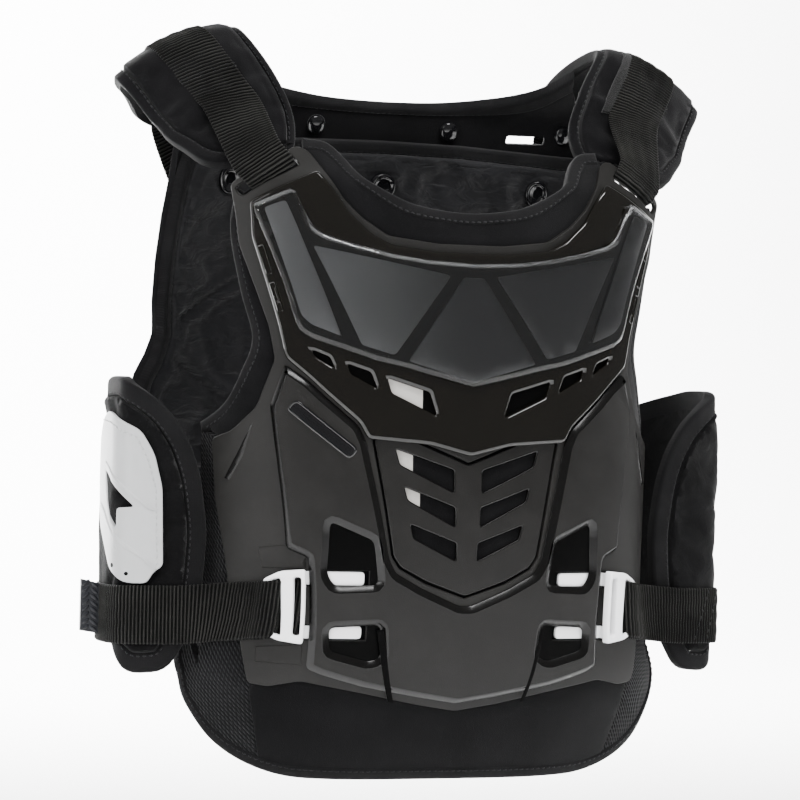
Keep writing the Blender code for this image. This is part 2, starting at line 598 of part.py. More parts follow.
# flanks: pad, edge tape, white guard, waist strap and buckle
flankOutline = [(185, 236), (172, 217), (164, 194), (159, 159), (161, 124), (168, 92), (184, 66), (212, 64),
                (240, 88), (262, 92), (336, 96), (336, 240), (290, 252), (254, 258), (224, 258), (202, 249)]
guardOutline = [(238, 235), (226, 233), (204, 223), (195, 208), (189.5, 186), (188, 135), (194, 131), (198, 123.5),
                (213, 123.5), (229, 134), (242, 148), (256, 160), (264, 190), (262, 216), (250, 230)]
arrow = [(240, 196), (231, 192), (219, 184), (207, 173), (219, 172), (219, 159), (226, 163), (234, 176)]
for side, tag in ((-1, "right"), (1, "left")):
    mapper = outward(flankSurface(side), side)
    setBack = 0 if side < 0 else 40
    cuts = (flankLines, [])
    panel("flank_pad_" + tag, [shifted(flankOutline, 14 + seam, True)], -flankPadThick, 0.0, mapper, cuts, suedeCloth)
    panel("flank_tape_" + tag, [flankOutline, shifted(flankOutline, 13, True)], -flankPadThick + 0.002, -0.002,
          mapper, cuts, tapeCloth)
    rings = [[(u + setBack, v) for u, v in ring] for ring in (guardOutline, arrow)]
    panel("flank_guard_" + tag, rings, 0.0007, 0.0007 + guardThick, mapper, cuts, whitePlastic)
    run = []
    for x, off in ((109, -2.3), (115, -2.3), (121, -2.3), (129, -2.3), (140, -2.3), (149, -2.0)):
        run.append((frontMap, side * frontArc([(x, 111)])[0][0], 110.5 - (x - 109) * 0.1, 0.0, 1.0, off * mm))
    for u in (176, 192, 206, 216, 226, 236, 254, 276, 304, 334):
        lift = 2.2 if u > 176 else 3.2
        run.append((mapper, u, 103.5 - (u - 176) * 0.02, 0.0, 1.0, lift * mm))
    webbing("waist_strap_" + tag, run, webCloth, 1)
    frame = rounded([(105.6, 136), (120, 134.5), (129, 129), (127.5, 93), (120, 89.5), (105.6, 87.5)], 3, 1)
    eye = [(112, 131), (112, 93), (107.6, 93), (107.6, 131)]
    loop = [(119.5, 130.5), (125, 127.5), (124, 95), (118.5, 92.5)]
    rings = [frontArc(r if side > 0 else mirrored(r)) for r in (frame, eye, loop)]
    body = panel("buckle_" + tag, rings, frameIn, frameIn + frameThick, frontMap, front, whitePlastic)
    extra = []
    for lo, hi in ((125.6, 134.4), (90.6, 98.8)):
        for near, far, bottom, top in ((69, 107.3, -0.0066, -0.0045), (105.8, 107.4, -0.0056, 0.002)):
            bar = [(near, lo), (far, lo), (far, hi), (near, hi)]
            bar = frontArc(bar if side > 0 else mirrored(bar))
            extra.append(panel("bar", [bar], bottom, top, frontMap, front, whitePlastic))
    fused(body, extra)

# rubber pull tab at the end of the right waist strap
pull = outward(flankSurface(-1), -1)
corners = [(off, v, u) for off, low, high in ((3.6, 88, 121), (16, 90, 124)) for v in (low, high) for u in (247, 250)]
points = [pull(np.array([u]), np.array([v]), np.array([off * mm]))[0] for off, v, u in corners]
faces = [(0, 1, 3, 2), (4, 6, 7, 5), (0, 4, 5, 1), (2, 3, 7, 6), (0, 2, 6, 4), (1, 5, 7, 3)]
newObject("strap_tab_right", points, faces, rubberBlack)
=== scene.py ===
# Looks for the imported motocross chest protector: plastics, neoprene, satin, webbing and stitches.
import json
import math

import bmesh
import bpy
import numpy as np
from mathutils import Matrix, Vector, noise
from mathutils.geometry import delaunay_2d_cdt
from mathutils.kdtree import KDTree

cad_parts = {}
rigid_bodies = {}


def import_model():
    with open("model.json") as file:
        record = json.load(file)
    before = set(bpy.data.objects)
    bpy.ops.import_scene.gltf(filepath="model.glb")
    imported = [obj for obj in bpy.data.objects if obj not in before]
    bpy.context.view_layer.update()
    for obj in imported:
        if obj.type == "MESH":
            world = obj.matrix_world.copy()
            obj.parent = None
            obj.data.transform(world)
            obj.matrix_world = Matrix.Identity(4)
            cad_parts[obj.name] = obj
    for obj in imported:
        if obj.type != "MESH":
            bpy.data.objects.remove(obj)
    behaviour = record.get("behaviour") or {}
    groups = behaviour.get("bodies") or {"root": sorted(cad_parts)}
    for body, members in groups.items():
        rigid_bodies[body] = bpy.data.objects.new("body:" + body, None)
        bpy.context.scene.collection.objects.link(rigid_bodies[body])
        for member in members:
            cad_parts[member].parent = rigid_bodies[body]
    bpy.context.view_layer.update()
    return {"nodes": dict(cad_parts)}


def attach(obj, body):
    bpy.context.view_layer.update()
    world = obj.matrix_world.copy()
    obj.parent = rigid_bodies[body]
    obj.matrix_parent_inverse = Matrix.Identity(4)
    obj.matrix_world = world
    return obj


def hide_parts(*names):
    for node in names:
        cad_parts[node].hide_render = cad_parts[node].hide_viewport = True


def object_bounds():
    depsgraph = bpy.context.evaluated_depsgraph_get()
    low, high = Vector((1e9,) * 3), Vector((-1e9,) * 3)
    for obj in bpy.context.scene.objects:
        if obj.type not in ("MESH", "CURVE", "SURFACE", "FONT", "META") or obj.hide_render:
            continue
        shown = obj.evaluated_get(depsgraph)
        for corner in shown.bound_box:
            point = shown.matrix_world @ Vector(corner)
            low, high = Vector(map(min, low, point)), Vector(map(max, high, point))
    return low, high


for thing in list(bpy.data.objects):
    bpy.data.objects.remove(thing, do_unlink=True)

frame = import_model()
print("frame loaded,", len(frame["nodes"]), "nodes")

# body shape: outlines are drawn in millimetres across and up, distances outward are in millimetres too
vest = {
    "unit": 0.001,
    "shoulderUp": 474.0,       # drawn height of the origin
    "shoulderForward": 5.0,    # drawn depth of the origin
    "frontPower": 2.4,
    "backPower": 3.4,
    "flankPower": 3.4,
    "flankBackPower": 2.6,
    "flankHalf": 215.0,
    "flankCenter": 30.0,
    "flankFront": 35.0,
    "flankBack": 128.0,
    "padCamber": 9.0,
    "frontHalf": 168.0,        # half widths and depths of the reference ovals
    "frontDepth": 122.0,
    "backHalf": 176.0,
    "backDepth": 112.0,
}

# height, half width, front depth, back half width, back depth
bodySections = [
    (-20, 166, 76, 190, 100), (20, 177, 98, 198, 103), (60, 184, 112, 205, 108),
    (100, 174, 119, 206, 112), (140, 169, 123, 206, 115), (170, 168, 124, 206, 116),
    (220, 169, 122, 205, 116), (255, 170, 121, 202, 114), (285, 171, 120, 194, 112),
    (345, 177, 117, 187, 103), (372, 181, 116, 184, 97), (391, 185, 112, 183, 92),
    (414, 187, 93, 182, 87), (438, 189, 76, 180, 81), (463, 190, 60, 178, 70),
    (475, 190, 52, 176, 52), (487, 190, 44, 175, 28), (495, 190, 40, 175, 14)]

# inner edge of a shoulder pad over the top: across, forward, up, and the fall line of its width
shoulderLine = [
    (105, 60, 401, 0.94, 0.10, -0.30), (99, 48, 416, 0.955, 0.04, -0.25),
    (97.5, 39, 431, 0.975, -0.02, -0.20), (109, 30, 461, 0.93, -0.09, -0.33),
    (130, 9, 494, 0.905, -0.085, -0.415), (127, -22, 491, 0.91, -0.02, -0.40),
    (119, -52, 477, 0.925, 0.05, -0.37), (111, -78, 452, 0.93, 0.10, -0.35),
    (108, -90, 428, 0.93, 0.16, -0.33), (108, -94, 414, 0.93, 0.18, -0.32)]

# layers, as distances out from the face of the chest shell
layers = {
    "shellIn": -3.3, "plateOut": -4.0, "plateIn": -7.0, "linerOut": -7.9, "linerIn": -13.5,
    "backPlateIn": -6.8, "backPlateOut": -3.8, "padOut": -14.9, "padIn": -25.9, "bezelOut": 0.5,
    "insertIn": 0.9, "insertOut": 2.0, "lensIn": 2.7, "lensOut": 4.7, "ventIn": -7.2, "ventOut": -4.7,
}


def smoothTable(xs, ys, at):
    slopes = np.gradient(ys, xs)
    i = np.clip(np.searchsorted(xs, at) - 1, 0, len(xs) - 2)
    h = xs[i + 1] - xs[i]
    t = (np.clip(at, xs[0], xs[-1]) - xs[i]) / h
    return ((2 * t**3 - 3 * t**2 + 1) * ys[i] + (t**3 - 2 * t**2 + t) * h * slopes[i]
            + (3 * t**2 - 2 * t**3) * ys[i + 1] + (t**3 - t**2) * h * slopes[i + 1])


class Oval:
    # arc position along a reference oval, as an angle from straight ahead
    def __init__(self, half, depth, power):
        self.half, self.depth, self.power = half, depth, power
        self.angles = np.linspace(0, math.pi / 2, 901)
        self.xs, f = self.at(self.angles)
        self.arcs = np.concatenate([[0], np.cumsum(np.hypot(np.diff(self.xs), np.diff(f)))])

    def at(self, angle):
        s, c = np.abs(np.sin(angle)), np.abs(np.cos(angle))
        r = ((s / self.half) ** self.power + (c / self.depth) ** self.power) ** (-1 / self.power)
        return r * np.sin(angle), r * np.cos(angle)

    def angle(self, arc):
        return np.interp(arc, self.arcs, self.angles)

    def arc(self, x):
        return np.interp(x, self.xs, self.arcs)


frontOval = Oval(vest["frontHalf"], vest["frontDepth"], vest["frontPower"])
backOval = Oval(vest["backHalf"], vest["backDepth"], vest["backPower"])
flankFrontOval = Oval(vest["flankHalf"], vest["flankFront"], vest["flankPower"])
flankBackOval = Oval(vest["flankHalf"], vest["flankBack"], vest["flankBackPower"])
columns = [np.array(c, float) for c in zip(*bodySections)]


def place(x, f, h):
    u = vest["unit"]
    return np.stack([x * u, (vest["shoulderForward"] - f) * u, (h - vest["shoulderUp"]) * u], axis=-1)


def bodySurface(facing):
    oval = frontOval if facing > 0 else backOval
    halves, depths = (columns[1], columns[2]) if facing > 0 else (columns[3], columns[4])

    def surface(u, v):
        over = np.maximum(np.abs(u) - oval.arcs[-1], 0)
        x, f = oval.at(oval.angle(np.abs(u)))
        wide = smoothTable(columns[0], halves, v) / oval.half
        deep = smoothTable(columns[0], depths, v) / oval.depth
        return place(np.sign(u) * x * wide, facing * (f * deep - over), v)
    return surface


def flankSurface(side):
    quarter = flankFrontOval.arcs[-1]

    def surface(u, v):
        xf, ff = flankFrontOval.at(flankFrontOval.angle(np.minimum(u, quarter)))
        xb, fb = flankBackOval.at(flankBackOval.angle(
            np.maximum(flankBackOval.arcs[-1] - np.maximum(u - quarter, 0), 0)))
        x = np.where(u <= quarter, xf, xb)
        f = np.where(u <= quarter, ff, -fb)
        return place(side * x, f + vest["flankCenter"], v)
    return surface


def shoulderSurface(side):
    table = [np.array(c, float) for c in zip(*shoulderLine)]
    knots = np.concatenate([[0], np.cumsum(np.sqrt(sum(np.diff(table[k]) ** 2 for k in range(3))))])
    knots -= knots[4]

    def surface(s, w):
        x, f, h, cx, cf, ch = [smoothTable(knots, column, s) for column in table]
        beyond = np.abs(s - np.clip(s, knots[0], knots[-1]))
        swell = vest["padCamber"] * (1 - np.clip((w - 46) / 46, -1.3, 1.3) ** 2)
        run = [smoothTable(knots, np.gradient(table[k], knots), s) for k in (1, 2)]
        size = np.hypot(*run)
        return place(side * (x + w * cx), f + w * cf + swell * run[1] / size,
                     h + w * ch - swell * run[0] / size - beyond)
    return surface


def outward(surface, sign):
    # mapper: drawn place and distance out in millimetres to a point in metres
    def mapper(u, v, off):
        u, v = np.atleast_1d(np.asarray(u, float)), np.atleast_1d(np.asarray(v, float))
        e = 0.4
        p = surface(u, v)
        n = np.cross(surface(u + e, v) - surface(u - e, v), surface(u, v + e) - surface(u, v - e))
        n /= np.linalg.norm(n, axis=-1, keepdims=True)
        return p + n * (sign * np.broadcast_to(np.asarray(off, float), u.shape) * vest["unit"])[..., None]
    return mapper


frontMap = outward(bodySurface(1), 1)
backMap = outward(bodySurface(-1), -1)
shoulderMap = {side: outward(shoulderSurface(side), -side) for side in (-1, 1)}
flankMap = {side: outward(flankSurface(side), side) for side in (-1, 1)}


def bodyArc(ring, oval, halves):
    last = oval.half * 0.98
    done = []
    for x, h in ring:
        size = abs(x) * oval.half / float(smoothTable(columns[0], halves, np.array([float(h)]))[0])
        arc = oval.arc(size) if size <= last else oval.arc(last) + size - last
        done.append((math.copysign(float(arc), x), float(h)))
    return done


def frontArc(ring):
    return bodyArc(ring, frontOval, columns[1])


def backArc(ring):
    return bodyArc(ring, backOval, columns[3])


def bothSides(half):
    return list(half) + [(-x, h) for x, h in reversed(half) if abs(x) > 1e-6]


def openPath(half):
    return [(-x, h) for x, h in reversed(half)] + [p for p in half if abs(p[0]) > 1e-6]


def mirrored(ring):
    return [(-x, h) for x, h in reversed(ring)]


def shifted(path, distance, closed=False):
    # path moved to its left, mitred at the corners
    points = np.array(path, float)
    ahead = np.roll(points, -1, axis=0) - points
    ahead /= np.maximum(np.linalg.norm(ahead, axis=1, keepdims=True), 1e-9)
    behind = np.roll(ahead, 1, axis=0)
    if not closed:
        behind[0] = ahead[0]
        ahead[-1] = behind[-1]
    left = np.stack([-ahead[:, 1], ahead[:, 0]], axis=1)
    last = np.stack([-behind[:, 1], behind[:, 0]], axis=1)
    bend = left + last
    bend /= np.maximum(np.linalg.norm(bend, axis=1, keepdims=True), 1e-9)
    reach = distance / np.maximum(0.5, np.sum(bend * left, axis=1))
    return [tuple(p) for p in points + bend * reach[:, None]]


def area(ring):
    p = np.array(ring)
    q = np.roll(p, -1, axis=0)
    return 0.5 * float(np.sum(p[:, 0] * q[:, 1] - q[:, 0] * p[:, 1]))


def rounded(ring, radius, steps=3):
    done = []
    count = len(ring)
    for i in range(count):
        here, before, after = Vector(ring[i]), Vector(ring[i - 1]), Vector(ring[(i + 1) % count])
        reach = min(radius, 0.45 * (here - before).length, 0.45 * (after - here).length)
        start = here + (before - here).normalized() * reach
        end = here + (after - here).normalized() * reach
        for k in range(steps + 1):
            t = k / steps
            done.append(tuple(start * (1 - t) ** 2 + here * 2 * t * (1 - t) + end * t * t))
    return done


def dense(path, step, closed=True):
    # long edges split so that none is longer than step
    done = []
    pairs = list(zip(path, path[1:] + path[:1])) if closed else list(zip(path, path[1:]))
    for a, b in pairs:
        parts = max(1, math.ceil(math.hypot(b[0] - a[0], b[1] - a[1]) / step))
        done += [(a[0] + (b[0] - a[0]) * k / parts, a[1] + (b[1] - a[1]) * k / parts) for k in range(parts)]
    return done if closed else done + [tuple(path[-1])]


def flowing(path, step):
    # smooth curve through the points of an open path, in even steps
    points = np.array(path, float)
    along = np.concatenate([[0], np.cumsum(np.sqrt(np.linalg.norm(np.diff(points, axis=0), axis=1)))])
    fine = np.linspace(0, along[-1], 40 * len(path))
    curve = np.stack([smoothTable(along, points[:, k], fine) for k in range(points.shape[1])], axis=1)
    run = np.concatenate([[0], np.cumsum(np.linalg.norm(np.diff(curve, axis=0), axis=1))])
    marks = np.linspace(0, run[-1], max(2, int(run[-1] / step) + 1))
    return [tuple(float(np.interp(m, run, curve[:, k])) for k in range(points.shape[1])) for m in marks]


def insideMask(points, rings):
    x, y = points[:, 0], points[:, 1]
    hit = np.zeros(len(points), bool)
    for ring in rings:
        for (x0, y0), (x1, y1) in zip(ring, ring[1:] + ring[:1]):
            if y0 != y1:
                hit ^= ((y0 > y) != (y1 > y)) & (x < (x1 - x0) * (y - y0) / (y1 - y0) + x0)
    return hit


def addObject(name, verts, faces, mat, uvs=None, sharp=38):
    mesh = bpy.data.meshes.new(name)
    mesh.from_pydata([tuple(v) for v in verts], [], [tuple(f) for f in faces])
    if uvs is not None:
        layer = mesh.uv_layers.new(name="surface")
        corners = np.empty(len(mesh.loops), np.int32)
        mesh.loops.foreach_get("vertex_index", corners)
        layer.data.foreach_set("uv", np.asarray(uvs, float)[corners].ravel())
    mesh.materials.append(mat)
    mesh.shade_smooth()
    mesh.set_sharp_from_angle(angle=math.radians(sharp))
    obj = bpy.data.objects.new(name, mesh)
    bpy.context.scene.collection.objects.link(obj)
    return obj


def outwardFaces(obj):
    editMesh = bmesh.new()
    editMesh.from_mesh(obj.data)
    bmesh.ops.recalc_face_normals(editMesh, faces=editMesh.faces)
    editMesh.to_mesh(obj.data)
    editMesh.free()


def unitNormals(mapper, points):
    rise = mapper(points[:, 0], points[:, 1], 1.0) - mapper(points[:, 0], points[:, 1], 0.0)
    return rise / np.linalg.norm(rise, axis=1, keepdims=True)


def sheetPiece(name, rings, profile, mapper, mat, step=5.0, relief=None, sharp=38, edgeMat=None,
               crisp=False):
    # closed sheet inside the first ring and outside the others; profile runs from the back edge
    # (inset, height) over the rim to the face, whose relief is a function of the drawn place
    low = profile[0][1]
    rims, ways = [], []
    for k, ring in enumerate(rings):
        ring = dense([tuple(map(float, p)) for p in ring], step)
        inward = (1 if area(ring) > 0 else -1) * (1 if k == 0 else -1)
        rims.append([shifted(ring, inward * inset, True) if inset else ring for inset, _ in profile])
        way = np.array(ring) - np.array(shifted(ring, inward * 0.2, True))
        ways.append(way / np.linalg.norm(way, axis=1, keepdims=True))
    last = [levels[-1] for levels in rims]
    border = np.array([p for ring in last for p in ring])
    tree = KDTree(len(border))
    for i, p in enumerate(border):
        tree.insert((p[0], p[1], 0), i)
    tree.balance()
    lo, hi = border.min(0), border.max(0)
    rows = []
    row = 0
    v = lo[1]
    while v < hi[1]:
        rows += [(u, v) for u in np.arange(lo[0] + (step / 2 if row % 2 else 0), hi[0], step)]
        v += step * 0.866
        row += 1
    grid = np.array(rows) if rows else np.zeros((0, 2))
    if len(grid):
        grid = grid[insideMask(grid, last)]
        grid = np.array([p for p in grid if tree.find((p[0], p[1], 0))[2] > step * 0.5]).reshape(-1, 2)
    flat = [Vector(p) for p in border] + [Vector(p) for p in grid]
    edges = []
    start = 0
    for ring in last:
        edges += [(start + i, start + (i + 1) % len(ring)) for i in range(len(ring))]
        start += len(ring)
    placed, _, triangles, origin, _, _ = delaunay_2d_cdt(flat, edges, [], 0, 1e-5)
    xy = np.array([tuple(p) for p in placed])
    middles = xy[np.array(triangles)].mean(axis=1)
    triangles = np.array(triangles)[insideMask(middles, last)]
    toFlat = {}
    for new, olds in enumerate(origin):
        for old in olds:
            toFlat[old] = new
    height = np.full(len(xy), float(profile[-1][1]))
    if relief is not None:
        away = np.array([tree.find((p[0], p[1], 0))[2] for p in xy])
        height += relief(xy[:, 0], xy[:, 1]) * np.clip(away / 5.0, 0, 1) ** 0.7
    face = mapper(xy[:, 0], xy[:, 1], height)
    back = mapper(xy[:, 0], xy[:, 1], low)
    verts = [face, back]
    uvs = [xy, xy]
    count = len(xy)
    faces = [tuple(t) for t in triangles] + [(t[2] + count, t[1] + count, t[0] + count) for t in triangles]
    total = 2 * count
    start = 0
    flatFaces = len(faces)
    facing = unitNormals(mapper, xy)
    normals = [facing, -facing]
    lean = [0.0] + [math.atan2(y1 - y0, x1 - x0) for (x0, y0), (x1, y1) in zip(profile, profile[1:])]
    backIds = set(range(count, 2 * count))
    for levels, way in zip(rims, ways):
        size = len(levels[0])
        ids = []
        for (inset, rise), ring in zip(profile[:-1], levels[:-1]):
            points = np.array(ring)
            verts.append(mapper(points[:, 0], points[:, 1], rise))
            uvs.append(points)
            k = profile.index((inset, rise))
            slope = (lean[max(k, 1)] + lean[k + 1]) / 2
            out = mapper(points[:, 0] + way[:, 0], points[:, 1] + way[:, 1], rise) - mapper(
                points[:, 0] - way[:, 0], points[:, 1] - way[:, 1], rise)
            out /= np.linalg.norm(out, axis=1, keepdims=True)
            turn = 1 if profile[-1][1] > low else -1
            normals.append(out * math.sin(abs(slope)) + turn * unitNormals(mapper, points) * math.cos(slope))
            ids.append([total + i for i in range(size)])
            total += size
        top = [toFlat.get(start + i, start + i) for i in range(size)]
        ids = [[t + count for t in top]] + ids + [top]
        for a, b in zip(ids, ids[1:]):
            for i in range(size):
                j = (i + 1) % size
                quad = (a[i], a[j], b[j], b[i])
                if len(set(quad)) > 2:
                    faces.append(tuple(dict.fromkeys(quad)))
        start += size
    obj = addObject(name, np.concatenate(verts), faces, mat, np.concatenate(uvs) * vest["unit"], sharp)
    obj["faceCount"] = count
    # the rim faces take the second material, the darker painted-shade finish
    if edgeMat is not None:
        obj.data.materials.append(edgeMat)
        marks = np.zeros(len(obj.data.polygons), np.int32)
        marks[flatFaces:] = 1
        obj.data.polygons.foreach_set("material_index", marks)
    outwardFaces(obj)
    obj.data.set_sharp_from_angle(angle=math.radians(sharp))
    if crisp:
        corners = np.empty(len(obj.data.loops), np.int32)
        obj.data.loops.foreach_get("vertex_index", corners)
        given = np.concatenate(normals)[corners]
        sides = np.zeros(len(corners), bool)
        for poly in obj.data.polygons:
            sides[poly.loop_start:poly.loop_start + poly.loop_total] = len(set(corners[
                poly.loop_start:poly.loop_start + poly.loop_total]) & backIds) > 0
        given[sides] = 0.0
        obj.data.normals_split_custom_set([tuple(n) for n in given])
    return obj


def rim(low, high, radius, steps=3):
    # upright wall with a rounded upper edge
    turns = [math.pi / 2 * k / steps for k in range(steps + 1)]
    return [(0, low)] + [(radius * (1 - math.cos(a)), high - radius * (1 - math.sin(a))) for a in turns]


clothFeel = {"quality": 6, "mass": 0.15, "tension_stiffness": 12, "compression_stiffness": 12,
             "shear_stiffness": 4, "bending_stiffness": 0.02}


def swellCloth(obj, held, pressure, slack, cap, frames=20):
    # padded cloth under pressure, held at its seams; no point moves further than cap (millimetres)
    count = len(obj.data.vertices)
    before = np.empty(count * 3)
    obj.data.vertices.foreach_get("co", before)
    before = before.reshape(-1, 3)
    group = obj.vertex_groups.new(name="held")
    group.add([int(i) for i in np.nonzero(held)[0]], 1.0, "REPLACE")
    cloth = obj.modifiers.new("swell", "CLOTH")
    for key, value in clothFeel.items():
        setattr(cloth.settings, key, value)
    cloth.settings.use_pressure = True
    cloth.settings.uniform_pressure_force = pressure
    cloth.settings.shrink_min = -slack
    cloth.settings.vertex_group_mass = "held"
    cloth.settings.effector_weights.gravity = 0
    cloth.point_cache.frame_start, cloth.point_cache.frame_end = 1, frames
    scene = bpy.context.scene
    for step in range(1, frames + 1):
        scene.frame_set(step)
    graph = bpy.context.evaluated_depsgraph_get()
    shaped = obj.evaluated_get(graph).to_mesh()
    after = np.empty(count * 3)
    shaped.vertices.foreach_get("co", after)
    move = after.reshape(-1, 3) - before
    far = np.linalg.norm(move, axis=1, keepdims=True)
    move *= np.minimum(1, cap * vest["unit"] / np.maximum(far, 1e-9))
    obj.modifiers.remove(cloth)
    obj.vertex_groups.remove(group)
    obj.data.vertices.foreach_set("co", (before + move).ravel())
    obj.data.update()
    scene.frame_set(1)
    print("  cloth", obj.name, count, "points, moved", round(float(far.max()) * 1000, 1), "mm at most")


def flatPlaces(obj):
    # drawn place of each vertex, read back from the surface UV map
    count = len(obj.data.vertices)
    corners = np.empty(len(obj.data.loops), np.int32)
    obj.data.loops.foreach_get("vertex_index", corners)
    flat = np.empty(len(corners) * 2)
    obj.data.uv_layers["surface"].data.foreach_get("uv", flat)
    places = np.zeros((count, 2))
    places[corners] = flat.reshape(-1, 2) / vest["unit"]
    return places


def heldPoints(obj, seams, width=2.6):
    # back and rim points, and face points beside a seam line
    places = flatPlaces(obj)
    held = np.ones(len(places), bool)
    held[:obj["faceCount"]] = False
    near = np.zeros(len(places), bool)
    for (u0, v0), (u1, v1) in seams:
        near |= lineDistance(places[:, 0], places[:, 1], (u0, v0), (u1, v1)) < width
    return held | near


def lineDistance(u, v, start, end):
    p = np.stack([u, v], axis=-1) - np.array(start, float)
    d = np.array(end, float) - np.array(start, float)
    t = np.clip(p @ d / (d @ d), 0, 1)
    return np.linalg.norm(p - t[..., None] * d, axis=-1)


def finishPiece(obj, slot, *nodes):
    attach(obj, "root")
    if nodes:
        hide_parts(*nodes)
    return obj


def joined(name, parts):
    editMesh = bmesh.new()
    mats = []
    mesh = bpy.data.meshes.new(name)
    for part in parts:
        for m in part.data.materials:
            if m not in mats:
                mats.append(m)
    for m in mats:
        mesh.materials.append(m)
    for part in parts:
        editMesh.from_mesh(part.data)
    editMesh.to_mesh(mesh)
    editMesh.free()
    obj = bpy.data.objects.new(name, mesh)
    bpy.context.scene.collection.objects.link(obj)
    for part in parts:
        bpy.data.objects.remove(part, do_unlink=True)
    mesh.set_sharp_from_angle(angle=math.radians(38))
    return obj


# node helpers
def fillNode(tree, node, values):
    for key, value in values.items():
        if isinstance(value, bpy.types.NodeSocket):
            tree.links.new(value, node.inputs[key])
        else:
            node.inputs[key].default_value = value
    return node


def makeNode(tree, kind, values=(), **settings):
    node = tree.nodes.new(kind)
    for key, value in settings.items():
        setattr(node, key, value)
    return fillNode(tree, node, dict(values))


def makeTree(name, kind, inputs, outputs):
    tree = bpy.data.node_groups.new(name, kind)
    for label, socketType, value in inputs:
        socket = tree.interface.new_socket(label, in_out="INPUT", socket_type=socketType)
        if value is not None:
            socket.default_value = value
    for label, socketType in outputs:
        tree.interface.new_socket(label, in_out="OUTPUT", socket_type=socketType)
    return tree, tree.nodes.new("NodeGroupInput"), tree.nodes.new("NodeGroupOutput")


def mathNode(tree, operation, *values):
    return makeNode(tree, "ShaderNodeMath", dict(enumerate(values)), operation=operation).outputs[0]


# geometry nodes: pieces set along a path, and ribs raised on a woven band
def buildAlongPath():
    tree, into, out = makeTree("alongPath", "GeometryNodeTree", [
        ("Geometry", "NodeSocketGeometry", None), ("Piece", "NodeSocketObject", None),
        ("Spacing", "NodeSocketFloat", 0.004), ("Size", "NodeSocketFloat", 1.0),
        ("Jitter", "NodeSocketFloat", 0.08), ("Seed", "NodeSocketInt", 3),
        ("Finish", "NodeSocketMaterial", None)], [("Geometry", "NodeSocketGeometry")])
    curve = makeNode(tree, "GeometryNodeMeshToCurve", {"Mesh": into.outputs["Geometry"]})
    even = makeNode(tree, "GeometryNodeResampleCurve",
                    {"Curve": curve.outputs["Curve"], "Length": into.outputs["Spacing"]}, mode="LENGTH")
    tangent = makeNode(tree, "GeometryNodeInputTangent")
    lift = makeNode(tree, "GeometryNodeInputNamedAttribute", {"Name": "lift"}, data_type="FLOAT_VECTOR")
    along = makeNode(tree, "FunctionNodeAlignRotationToVector", {"Vector": tangent.outputs[0]}, axis="X")
    upright = makeNode(tree, "FunctionNodeAlignRotationToVector",
                       {"Rotation": along.outputs[0], "Vector": lift.outputs["Attribute"]}, axis="Z",
                       pivot_axis="X")
    piece = makeNode(tree, "GeometryNodeObjectInfo", {"Object": into.outputs["Piece"], "As Instance": True})
    low = mathNode(tree, "SUBTRACT", 1.0, into.outputs["Jitter"])
    high = mathNode(tree, "ADD", 1.0, into.outputs["Jitter"])
    vary = makeNode(tree, "FunctionNodeRandomValue", {"Seed": into.outputs["Seed"], 2: low, 3: high})
    size = mathNode(tree, "MULTIPLY", vary.outputs[1], into.outputs["Size"])
    points = makeNode(tree, "GeometryNodeInstanceOnPoints", {
        "Points": even.outputs["Curve"], "Instance": piece.outputs["Geometry"],
        "Rotation": upright.outputs[0], "Scale": size})
    real = makeNode(tree, "GeometryNodeRealizeInstances", {"Geometry": points.outputs["Instances"]})
    paint = makeNode(tree, "GeometryNodeSetMaterial",
                     {"Geometry": real.outputs["Geometry"], "Material": into.outputs["Finish"]})
    fillNode(tree, out, {"Geometry": paint.outputs["Geometry"]})
    return tree


def buildWovenRibs():
    tree, into, out = makeTree("wovenRibs", "GeometryNodeTree", [
        ("Geometry", "NodeSocketGeometry", None), ("Rib Pitch", "NodeSocketFloat", 0.0029),
        ("Rib Height", "NodeSocketFloat", 0.0004), ("Thread Pitch", "NodeSocketFloat", 0.0017),
        ("Finish", "NodeSocketMaterial", None)], [("Geometry", "NodeSocketGeometry")])
    flat = makeNode(tree, "GeometryNodeInputNamedAttribute", {"Name": "weave"}, data_type="FLOAT_VECTOR")
    split = makeNode(tree, "ShaderNodeSeparateXYZ", {0: flat.outputs["Attribute"]})
    ribs = mathNode(tree, "DIVIDE", split.outputs[1], into.outputs["Rib Pitch"])
    threads = mathNode(tree, "DIVIDE", split.outputs[0], into.outputs["Thread Pitch"])
    turn = 2 * math.pi
    ribWave = mathNode(tree, "COSINE", mathNode(tree, "MULTIPLY", ribs, turn))
    threadWave = mathNode(tree, "COSINE", mathNode(tree, "MULTIPLY", threads, turn))
    both = mathNode(tree, "MULTIPLY_ADD", threadWave, 0.35, ribWave)
    height = mathNode(tree, "MULTIPLY", both, into.outputs["Rib Height"])
    face = mathNode(tree, "MULTIPLY", height, split.outputs[2])
    normal = makeNode(tree, "GeometryNodeInputNormal")
    move = makeNode(tree, "ShaderNodeVectorMath", {0: normal.outputs[0], "Scale": face}, operation="SCALE")
    moved = makeNode(tree, "GeometryNodeSetPosition",
                     {"Geometry": into.outputs["Geometry"], "Offset": move.outputs[0]})
    paint = makeNode(tree, "GeometryNodeSetMaterial",
                     {"Geometry": moved.outputs["Geometry"], "Material": into.outputs["Finish"]})
    fillNode(tree, out, {"Geometry": paint.outputs["Geometry"]})
    return tree


alongPath = buildAlongPath()
wovenRibs = buildWovenRibs()


